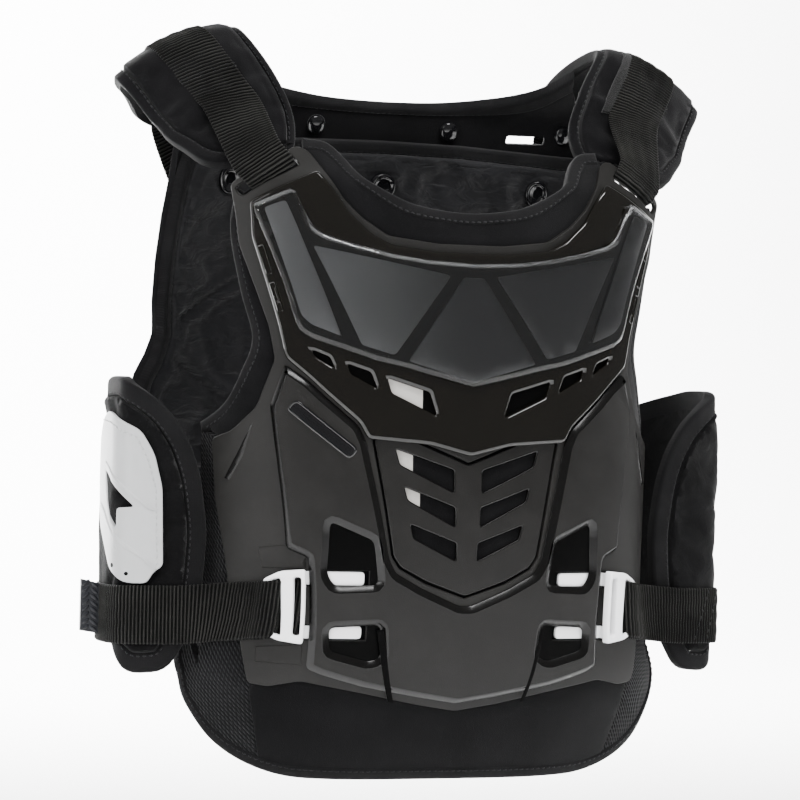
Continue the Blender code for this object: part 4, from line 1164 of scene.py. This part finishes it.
slotRing = rounded(backParts["collarSlot"], 1.5, 2)
panel("backNeoprene", "back_liner", [bothSides(backHalf), backArc(slotRing), backArc(mirrored(slotRing))],
      rim(layers["linerIn"], layers["linerOut"], 0.8), "neoprene", backMap, 6.0)


def backBinding(name, ringOrPath, width, low, high, node, closed, stitchSide, seed):
    rings = [ringOrPath, shifted(ringOrPath, width, True)] if closed else [tapeRing(ringOrPath, width)]
    roll = 2.4
    levels = [(0, high)] + [(inset, low + (high - rise)) for inset, rise in rim(low, high, roll)[1:]]
    piece = sheetPiece(name, rings, levels, backMap, finishes["twill"], 3.2, wavy(0.12, 0.5, seed))
    finishPiece(piece, node, node)
    run = shifted(ringOrPath, stitchSide, closed)
    run = run if closed else run[1:-1]
    stitchRuns(name + "Stitches", [(backMap, run, low + 0.1, closed)], finishes["thread"], node, seed=seed)


backBinding("collarBinding", collarPath, -backParts["collarTape"], layers["linerIn"] - 1,
            layers["linerOut"] + 1, "collar_tape", False, -8.0, 21)
padRing = backArc(bothSides(backParts["padEdge"]))
padRing = dense(padRing, 12)
backBinding("padBinding", padRing, -backParts["padTape"] * (1 if area(padRing) < 0 else -1),
            layers["padIn"] + 3, layers["padOut"], "back_pad_tape", True,
            -8.0 * (1 if area(padRing) < 0 else -1), 22)
padInner = shifted(padRing, (-1 if area(padRing) < 0 else 1) * (backParts["padTape"] - 1.0), True)
levels = [(0, layers["padOut"]), (0, layers["padIn"] + 3.0), (0.8, layers["padIn"] + 1.6),
          (2.4, layers["padIn"] + 0.5), (4.5, layers["padIn"])]
quilt = {"seams": [((0, 350), (0, 60)), ((0, 402), (-60, 355)), ((0, 402), (60, 355)),
                   ((-120, 401), (-60, 355)), ((120, 401), (60, 355)), ((-168, 330), (-168, 80)),
                   ((168, 330), (168, 80)), ((60, 355), (168, 290)), ((-60, 355), (-168, 290)),
                   ((168, 290), (60, 225)), ((-168, 290), (-60, 225)), ((60, 225), (168, 160)),
                   ((-60, 225), (-168, 160)), ((168, 160), (60, 95)), ((-168, 160), (-60, 95))],
         "sink": 2.4, "crown": 1.6, "pressure": 3.0, "slack": 0.03, "cap": 4.0}


def quiltRelief(u, v):
    near = np.min([lineDistance(u, v, *seam) for seam in quilt["seams"]], axis=0)
    return quilt["sink"] * np.exp(-(near / 3.5) ** 2) - quilt["crown"] * np.clip(near / 22, 0, 1) ** 0.6


padCloth = sheetPiece("quiltedPad", [padInner], levels, backMap, finishes["satin"], 4.2, quiltRelief)
swellCloth(padCloth, heldPoints(padCloth, quilt["seams"]), quilt["pressure"], quilt["slack"], quilt["cap"])
finishPiece(padCloth, "back_pad", "back_pad")


def lathe(name, mapper, u, v, profile, mat, count=32):
    # round part on a surface: profile is a list of (radius, height) from its foot to its top
    verts, faces = [], []
    for r, lift in profile:
        a = 2 * math.pi * np.arange(count) / count
        verts.append(mapper(u + r * np.cos(a), v + r * np.sin(a), lift))
    rows = len(profile)
    for row in range(rows - 1):
        for k in range(count):
            a, b = row * count + k, row * count + (k + 1) % count
            faces.append((a, b, b + count, a + count))
    faces += [tuple(range(count))[::-1], tuple((rows - 1) * count + k for k in range(count))]
    obj = addObject(name, np.concatenate(verts), faces, mat)
    outwardFaces(obj)
    obj.data.set_sharp_from_angle(angle=math.radians(45))
    return obj


snap = {"radius": 6.6, "height": 4.2, "skirt": 0.25, "domeSteps": 9}
grommet = {"radius": 9.5, "height": 3.0,
           "section": [(1, 0), (1, 0.3), (0.96, 0.7), (0.88, 0.95), (0.8, 1), (0.72, 0.9), (0.66, 0.6),
                       (0.5, 0.35), (0.2, 0.25)]}
for x, tag in backParts["snaps"]:
    arc = backArc([(x, backParts["snapHeight"])])[0]
    r, h, base = snap["radius"], -snap["height"], layers["padOut"]
    skirt = snap["skirt"] * h
    dome = [(r, base), (r, base + skirt)] + [(r * math.cos(t) * 0.97,
                                              base + skirt + (h - skirt) * math.sin(t))
                                             for t in np.linspace(0, 1.45, snap["domeSteps"])]
    piece = lathe("snapDome_" + tag, backMap, arc[0], arc[1], dome, finishes["button"])
    finishPiece(piece, "snap_" + tag, "snap_" + tag)
for x, up, tag in backParts["grommets"]:
    arc = backArc([(x, up)])[0]
    r, h, base = grommet["radius"], -grommet["height"], layers["padIn"] - 0.9
    ring = [(r * wide, base + h * tall) for wide, tall in grommet["section"]]
    piece = lathe("grommetRing_" + tag, backMap, arc[0], arc[1], ring, finishes["button"])
    finishPiece(piece, "grommet_" + tag, "grommet_" + tag)
print("back made")

# shoulders and flanks
pads = {
    "shoulderOutline": [(-104, 2), (-60, 0), (0, 0), (60, 0), (112, 2), (112, 54), (92, 74), (44, 88),
                        (0, 92), (-42, 94), (-74, 92), (-96, 72), (-104, 54)],
    "shoulderTape": 7.0, "shoulderThick": 10.0,
    "shoulderSwell": {"pressure": 2.5, "slack": 0.035, "cap": 2.5, "frames": 14},
    "flankSwell": {"pressure": 1.0, "slack": 0.05, "cap": 2.2, "frames": 14},
    "flankOutline": [(185, 236), (172, 217), (164, 194), (159, 159), (161, 124), (168, 92), (184, 66),
                     (212, 64), (240, 88), (262, 92), (336, 96), (336, 240), (290, 252), (254, 258),
                     (224, 258), (202, 249)],
    "flankTape": 13.0, "flankThick": 11.0, "seam": 0.15,
    "guardOutline": [(238, 235), (226, 233), (204, 223), (195, 208), (189.5, 186), (188, 135), (194, 131),
                     (198, 123.5), (213, 123.5), (229, 134), (242, 148), (256, 160), (264, 190), (262, 216),
                     (250, 230)],
    "arrow": [(240, 196), (231, 192), (219, 184), (207, 173), (219, 172), (219, 159), (226, 163),
              (234, 176)],
    "hookStrip": [(-56, 19.5), (-20, 20.5), (44, 21.5), (44, 29), (-20, 29), (-56, 28)],
    "guardRidges": [[(240, 199.5), (231, 195.5), (219, 188), (207, 178), (194, 170.5), (207, 181),
                     (219, 191.5), (231, 199), (240, 202.5)],
                    [(252, 171), (238, 163), (222, 152), (206, 142), (192, 132.5), (206, 145.5),
                     (222, 156.5), (238, 168), (251, 175)],
                    [(219, 159), (222, 161), (222, 146), (217, 143)]],
    "guardHoles": [(222, 134.5, 1.5), (211, 129.5, 1.3)],
    "guardStitch": [(248, 229), (228, 227.5), (206.5, 218.5), (199, 204), (193.6, 185), (192, 137)],
    "webStitch": [[(-34, 28), (-34, 64)], [(-32, 28), (-32, 64)]], "waistStitch": [[(193, 88), (204, 119)],
                                                                          [(204, 88), (213, 119)]],
    "guardIn": 0.7, "guardOut": 2.9, "leftSetBack": 40,
}
strap = {"wrap": [(140, -0.2), (134, 1.6), (130.5, 4.4), (127, 5.6), (123.5, 5.4), (121.2, 3.6),
                  (120.4, 0.6), (120.2, -1.2)],
         "width": 38.0, "thick": 2.0, "rowStep": 0.6, "ribPitch": 0.0024, "ribHeight": 0.0006,
         "threadPitch": 0.0017}


def webBand(name, stations, mat, columns=27):
    # woven band through (mapper, centre, width direction, distance out) stations
    half = strap["width"] / 2
    marks = np.linspace(-1, 1, 5)
    rows = []
    for mapper, u, v, du, dv, off in stations:
        rows.append(mapper(u + marks * du * half, v + marks * dv * half, off).ravel())
    rows = np.array(flowing([tuple(r * 1000) for r in rows], strap["rowStep"])) / 1000
    rows = rows.reshape(len(rows), 5, 3)
    count = len(rows)
    across = np.linspace(-1, 1, columns)
    grid = np.empty((count, columns, 3))
    for k in range(3):
        for i in range(count):
            grid[i, :, k] = np.interp(across, marks, rows[i, :, k])
    smooth = grid.copy()
    for _ in range(6):
        smooth[:, 1:-1] = 0.5 * smooth[:, 1:-1] + 0.25 * (smooth[:, :-2] + smooth[:, 2:])
    grid = smooth
    run = np.concatenate([[0], np.cumsum(np.linalg.norm(np.diff(grid[:, columns // 2], axis=0), axis=1))])
    tangent = np.gradient(grid, axis=0)
    width = np.gradient(grid, axis=1)
    normal = np.cross(tangent, width)
    normal /= np.linalg.norm(normal, axis=2, keepdims=True)
    t = strap["thick"] / 2 * vest["unit"]
    edge = np.ones(columns)
    edge[0] = edge[-1] = 0.35
    verts, weave, faces = [], [], []
    for sign in (1, -1):
        verts.append((grid + normal * (sign * t * edge)[None, :, None]).reshape(-1, 3))
        flat = np.empty((count, columns, 3))
        flat[:, :, 0] = across[None, :] * half * vest["unit"]
        flat[:, :, 1] = run[:, None]
        flat[:, :, 2] = 1.0
        flat[:, [0, -1], 2] = 0.2
        weave.append(flat.reshape(-1, 3))
    total = count * columns
    for i in range(count - 1):
        for j in range(columns - 1):
            a = i * columns + j
            faces.append((a, a + 1, a + columns + 1, a + columns))
            faces.append((total + a, total + a + columns, total + a + columns + 1, total + a + 1))
    for i in range(count - 1):
        a, b = i * columns, (i + 1) * columns
        faces.append((a, b, b + total, a + total))
        a, b = a + columns - 1, b + columns - 1
        faces.append((a, a + total, b + total, b))
    for i in (0, count - 1):
        for j in range(columns - 1):
            a = i * columns + j
            quad = (a, a + total, a + total + 1, a + 1)
            faces.append(quad if i == 0 else quad[::-1])
    weave = np.concatenate(weave)
    obj = addObject(name, np.concatenate(verts), faces, mat, weave[:, :2], 70)
    attribute = obj.data.attributes.new("weave", "FLOAT_VECTOR", "POINT")
    attribute.data.foreach_set("vector", weave.ravel())
    outwardFaces(obj)
    applyTree(obj, wovenRibs, Rib_Pitch=strap["ribPitch"], Rib_Height=strap["ribHeight"],
              Thread_Pitch=strap["threadPitch"], Finish=mat)
    obj.data.attributes.remove(obj.data.attributes["weave"])
    return obj


def shoulderStations(side):
    mapper = shoulderMap[side]
    ends = []
    for bodyMap, toArc, seat in ((frontMap, frontArc, 0.0), (backMap, backArc, 1.0)):
        run = []
        for reach, off in ((8.6, -6.3), (7.0, -4.6), (5.4, -2.9), (3.4, -2.4), (0.0, -2.3), (-4.0, -1.4)):
            x, h = 135 - 0.56 * reach, 399.5 - 0.829 * reach
            arc = toArc([(x, h)])[0][0]
            spread = (toArc([(x + 5, h)])[0][0] - toArc([(x - 5, h)])[0][0]) / 10
            run.append((bodyMap, side * arc, h, side * 0.829 * spread, -0.56, off + seat))
        ends.append(run)
    over = []
    for s, w in ((-60, 44), (-46, 45), (-28, 46), (-10, 46), (6, 46), (26, 46), (48, 45), (70, 42), (90, 39),
                 (104, 37), (115, 36)):
        lift = 1.7 + max(0, -s - 50) * 0.2 + max(0, s - 80) * 0.05
        over.append((mapper, s, w, 0.0, 1.0, lift))
    return ends[0] + over + ends[1][::-1]


def waistStations(side):
    run = []
    for x, off in ((109, -2.3), (115, -2.3), (121, -2.3), (129, -2.3), (140, -2.3), (149, -2.0)):
        run.append((frontMap, side * frontArc([(x, 111)])[0][0], 110.5 - (x - 109) * 0.1, 0.0, 1.0, off))
    for u in (176, 192, 206, 216, 226, 236, 254, 276, 304, 334):
        run.append((flankMap[side], u, 103.5 - (u - 176) * 0.02, 0.0, 1.0, 2.2 if u > 176 else 3.2))
    return run


for side, tag in ((-1, "right"), (1, "left")):
    mapper = shoulderMap[side]
    outline = rounded(pads["shoulderOutline"], 8, 4)
    inner = shifted(outline, pads["shoulderTape"] + pads["seam"], True)
    padEdge = rim(-pads["shoulderThick"], 0.0, 2.6)
    piece = sheetPiece("shoulderPadCloth_" + tag, [inner], padEdge, mapper, finishes["neoprene"], 3.6,
                       wavy(0.09, 0.35, 7.0 + side))
    swellCloth(piece, heldPoints(piece, []), **pads["shoulderSwell"])
    finishPiece(piece, "shoulder_pad_" + tag, "shoulder_pad_" + tag)
    binding("shoulderBinding_" + tag, outline, pads["shoulderTape"], mapper, -8.5, -0.8,
            "shoulder_tape_" + tag, "shoulder_tape_" + tag, True, 2.2, stitchIn=6.0, seed=31 + side,
            finish="neoprene")
    piece = webBand("shoulderWeb_" + tag, shoulderStations(side), finishes["web"])
    finishPiece(piece, "shoulder_strap_" + tag, "shoulder_strap_" + tag)
    mapper = flankMap[side]
    outline = rounded(pads["flankOutline"], 10, 4)
    inner = shifted(outline, pads["flankTape"] + pads["seam"], True)
    piece = sheetPiece("flankPadCloth_" + tag, [inner], rim(-pads["flankThick"], 0.0, 2.4), mapper,
                       finishes["suede"], 4.0, wavy(0.06, 0.6, 9.0 + side))
    swellCloth(piece, heldPoints(piece, []), **pads["flankSwell"])
    finishPiece(piece, "flank_pad_" + tag, "flank_pad_" + tag)
    binding("flankBinding_" + tag, outline, pads["flankTape"], mapper, -pads["flankThick"] + 2, -1.2,
            "flank_tape_" + tag, "flank_tape_" + tag, True, 2.4, stitchIn=11.0, seed=41 + side)
    setBack = 0 if side < 0 else pads["leftSetBack"]
    rings = [[(u + setBack, v) for u, v in rounded(ring, ease, 4)] for ring, ease in
             ((pads["guardOutline"], 5), (pads["arrow"], 2.5))]
    panel("sideGuardSkin_" + tag, "flank_guard_" + tag, rings, rim(pads["guardIn"], pads["guardOut"], 0.9),
          "white", mapper, 3.5)
    top = pads["guardOut"]
    strips("guardRidges_" + tag, [[(u + setBack, v) for u, v in ring] for ring in pads["guardRidges"]],
           [(0, top - 0.5), (0, top - 0.05), (0.5, top + 0.45), (1.1, top + 0.6)], finishes["white"],
           "flank_guard_" + tag, mapper, 2.0)
    # painted shade: near-black discs stand for the shade inside the guard's holes
    holes = [lathe("hole", mapper, u + setBack, v, [(r, top - 0.4), (r, top + 0.06), (0.2, top + 0.06)],
                   finishes["pocket"], 16) for u, v, r in pads["guardHoles"]]
    finishPiece(joined("guardHoles_" + tag, holes), "flank_guard_" + tag)
    run = dense([(u + setBack, v) for u, v in pads["guardStitch"]], 3.0, False)
    stitchRuns("guardStitches_" + tag, [(mapper, run, top + 0.15, False)], finishes["white"],
               "flank_guard_" + tag, seed=51 + side)
    piece = webBand("waistWeb_" + tag, waistStations(side), finishes["web"])
    finishPiece(piece, "waist_strap_" + tag, "waist_strap_" + tag)
    wrap = [(frontMap, side * frontArc([(x, 111)])[0][0], 110.6 - (x - 120) * 0.15, 0.0, 0.98, off)
            for x, off in strap["wrap"]]
    finishPiece(webBand("waistWrap_" + tag, wrap, finishes["web"]), "waist_strap_" + tag)
    runs = [(shoulderMap[side], dense(path, 3.0, False), 3.0, False) for path in pads["webStitch"]]
    stitchRuns("webStitches_" + tag, runs, finishes["thread"], "shoulder_strap_" + tag, seed=61 + side)
    if side > 0:
        strips("hookStrip", [pads["hookStrip"]], [(0, -0.5), (0, 1.4), (0.7, 2.0)], finishes["hook"],
               "shoulder_strap_left", shoulderMap[side])
        runs = [(mapper, dense(path, 3.0, False), 3.5, False) for path in pads["waistStitch"]]
        stitchRuns("waistStitches", runs, finishes["thread"], "waist_strap_left", seed=63)
print("pads and straps made")

# buckles and the rubber pull tab
buckle = {
    "frame": [(105.6, 136), (120, 134.5), (129, 129), (127.5, 93), (120, 89.5), (105.6, 87.5)],
    "eye": [(112, 131), (112, 93), (107.6, 93), (107.6, 131)],
    "loop": [(119.5, 130.5), (125, 127.5), (124, 95), (118.5, 92.5)],
    "low": -0.8, "high": 4.4, "prongRows": ((125.6, 134.4), (90.6, 98.8)),
    "prongBars": ((69, 107.3, -6.6, -4.5), (105.8, 107.4, -5.6, 2.0)),
}
for side, tag in ((-1, "right"), (1, "left")):
    flip = (lambda ring: list(ring)) if side > 0 else mirrored
    rings = [frontArc(flip(rounded(r, 2.2, 3))) for r in (buckle["frame"], buckle["eye"], buckle["loop"])]
    parts = [sheetPiece("frame", rings, rim(buckle["low"], buckle["high"], 1.4), frontMap,
                        finishes["buckle"], 3.0)]
    for lo, hi in buckle["prongRows"]:
        for near, far, bottom, top in buckle["prongBars"]:
            bar = rounded([(near, lo), (far, lo), (far, hi), (near, hi)], 2.6 if far - near > 9 else 0.7, 4)
            parts.append(sheetPiece("bar", [frontArc(flip(bar))], rim(bottom, top, 0.4, 2), frontMap,
                                    finishes["buckle"], 3.0))
    finishPiece(joined("buckleBody_" + tag, parts), "buckle_" + tag, "buckle_" + tag)

tab = {"near": 247, "far": 250, "low": 88, "high": 121, "outLow": 90, "outHigh": 124, "in": 3.6, "out": 16.0,
       "bars": 8, "barLength": 3.1, "barWidth": 1.3, "barRise": 1.0}


def pullTab():
    # flat tongue that stands out from the strap; tabBars adds its herringbone of raised bars
    mapper = flankMap[-1]
    rows, cols = 14, 12
    verts, faces, uvs = [], [], []
    for face, u in ((0, tab["near"]), (1, tab["far"])):
        for i in range(rows + 1):
            t = i / rows
            off = tab["in"] + (tab["out"] - tab["in"]) * t
            low = tab["low"] + (tab["outLow"] - tab["low"]) * t
            high = tab["high"] + (tab["outHigh"] - tab["high"]) * t
            for j in range(cols + 1):
                v = low + (high - low) * j / cols
                verts.append(mapper(u, v, off)[0])
                uvs.append((off * 0.001, v * 0.001))
    count = (rows + 1) * (cols + 1)
    for face in (0, 1):
        for i in range(rows):
            for j in range(cols):
                a = face * count + i * (cols + 1) + j
                faces.append((a, a + 1, a + cols + 2, a + cols + 1))
    border = list(range(cols + 1)) + [i * (cols + 1) + cols for i in range(1, rows + 1)]
    border += [rows * (cols + 1) + j for j in range(cols - 1, -1, -1)]
    border += [i * (cols + 1) for i in range(rows - 1, 0, -1)]
    for a, b in zip(border, border[1:] + border[:1]):
        faces.append((a, b, b + count, a + count))
    obj = addObject("pullTabRubber", verts, faces, finishes["rubber"], uvs)
    outwardFaces(obj)
    return obj


def tabBars():
    # two leaning columns of rounded bars on the tab's front
    verts, faces = [], []
    turns, rings = 12, 6
    for column, lean in ((0.27, 1), (0.73, -1)):
        for row in range(tab["bars"]):
            t = (row + 0.6) / tab["bars"]
            start = len(verts)
            for i in range(rings + 1):
                polar = math.pi / 2 * i / rings
                for k in range(turns):
                    a = 2 * math.pi * k / turns
                    along = tab["barLength"] * math.sin(polar) * math.cos(a)
                    wide = tab["barWidth"] * math.sin(polar) * math.sin(a)
                    x = (along * 0.80 - wide * 0.6) * lean
                    y = along * 0.6 + wide * 0.80
                    low = tab["low"] + (tab["outLow"] - tab["low"]) * column
                    high = tab["high"] + (tab["outHigh"] - tab["high"]) * column
                    off = tab["in"] + (tab["out"] - tab["in"]) * column + x
                    out = tab["near"] - tab["barRise"] * math.cos(polar)
                    verts.append(flankMap[-1](out, low + (high - low) * t + y, off)[0])
            for i in range(rings):
                for k in range(turns):
                    p, q = start + i * turns + k, start + i * turns + (k + 1) % turns
                    faces.append((p, q, q + turns, p + turns))
            faces.append(tuple(range(start + rings * turns, start + (rings + 1) * turns)))
            faces.append(tuple(range(start, start + turns)))
    obj = addObject("pullTabBars", verts, faces, finishes["rubber"])
    outwardFaces(obj)
    return obj


finishPiece(pullTab(), "strap_tab_right", "strap_tab_right")
finishPiece(tabBars(), "strap_tab_right")
bpy.data.objects.remove(stitchShape, do_unlink=True)
print("buckles made")

# floor, light and camera
studio = {
    "floorDrop": 0.10,       # below the lowest point of the vest
    "floorSize": 9.0,
    "distance": 2.3, "azimuth": -20.0, "roll": 1.4,
    "pixelsPerMm": 1.46, "pictureSide": 800, "pointAcross": 408, "imageHeight": 246.6,
    "wallStart": 2.0, "wallBend": 1.2, "wallTop": 8.0,
    "floorColor": (0.86, 0.86, 0.86, 1), "skyPower": 0.2, "sensor": 36,
}


def addSweep():
    # pale floor that curves up into a wall behind
    low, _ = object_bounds()
    z = low.z - studio["floorDrop"]
    half = studio["floorSize"]
    start, bend = studio["wallStart"], studio["wallBend"]
    curve = [(start + bend * math.sin(a), z + bend * (1 - math.cos(a)))
             for a in np.linspace(0.1, math.pi / 2, 10)]
    line = [(-half, z), (start, z)] + curve + [(start + bend, z + studio["wallTop"])]
    verts = [(x, y, h) for y, h in line for x in (-half, half)]
    faces = [(2 * i, 2 * i + 1, 2 * i + 3, 2 * i + 2) for i in range(len(line) - 1)]
    mat, tree, shader = startMaterial("paleFloor")
    fillNode(tree, shader, {"Base Color": studio["floorColor"], "Roughness": 0.9})
    floor = addObject("paleSweep", verts, faces, mat)


def addLight(name, spot, target, size, power, glossy):
    data = bpy.data.lights.new(name, "AREA")
    data.shape = "RECTANGLE"
    data.size, data.size_y = size
    data.energy = power
    obj = bpy.data.objects.new(name, data)
    bpy.context.scene.collection.objects.link(obj)
    obj.location = spot
    obj.rotation_euler = (Vector(target) - Vector(spot)).to_track_quat("-Z", "Y").to_euler()
    obj.visible_glossy = obj.visible_transmission = glossy


# place, target, size and power of each light, and whether it shows in reflections
middle = (0, 0, -0.2)
lights = {
    "topSoft": ((0.2, -0.9, 1.5), middle, (1.6, 1.2), 78, False),
    "topGlint": ((0.0, -1.5, 2.2), middle, (1.2, 0.3), 26, True),
    "leftSoft": ((-1.9, -1.2, 0.4), middle, (0.9, 1.6), 46, False),
    "rightSoft": ((1.9, -0.9, 0.3), middle, (0.8, 1.6), 28, False),
    "frontSoft": ((-0.6, -2.6, 0.6), middle, (1.2, 1.2), 30, False),
    "edgeLeft": ((-2.14, -0.82, 0.4), middle, (0.14, 1.6), 12, True),
    "edgeRight": ((2.6, 0.3, 0.25), middle, (0.06, 1.8), 2, True),
    "wallWash": ((0.0, 1.2, 1.4), (0.0, 3.2, 0.3), (3.0, 1.0), 900, True),
}
addSweep()
for name, light in lights.items():
    addLight(name, *light)
world = bpy.data.worlds.new("studio")
bpy.context.scene.world = world
world.use_nodes = True
sky = world.node_tree.nodes["Background"]
fillNode(world.node_tree, sky, {0: (1, 1, 1, 1), 1: studio["skyPower"]})

turn = math.radians(studio["azimuth"])
ahead = Vector((-math.sin(turn), math.cos(turn), 0))
right = Vector((math.cos(turn), math.sin(turn), 0))
up = right.cross(ahead)
aim = Vector((0, vest["shoulderForward"], studio["imageHeight"] - vest["shoulderUp"])) * vest["unit"]
aim += right * ((studio["pictureSide"] / 2 - studio["pointAcross"]) / studio["pixelsPerMm"] * vest["unit"])
camera = bpy.data.objects.new("camera", bpy.data.cameras.new("camera"))
bpy.context.scene.collection.objects.link(camera)
camera.matrix_world = (Matrix.Translation(aim - ahead * studio["distance"])
                       @ Matrix((right, up, -ahead)).transposed().to_4x4()
                       @ Matrix.Rotation(math.radians(studio["roll"]), 4, "Z"))
camera.data.sensor_width = studio["sensor"]
camera.data.lens = (studio["sensor"] * studio["pixelsPerMm"] * studio["distance"] / vest["unit"]
                    / studio["pictureSide"])
camera.data.clip_end = 50
camera.data.dof.use_dof = False
bpy.context.scene.camera = camera
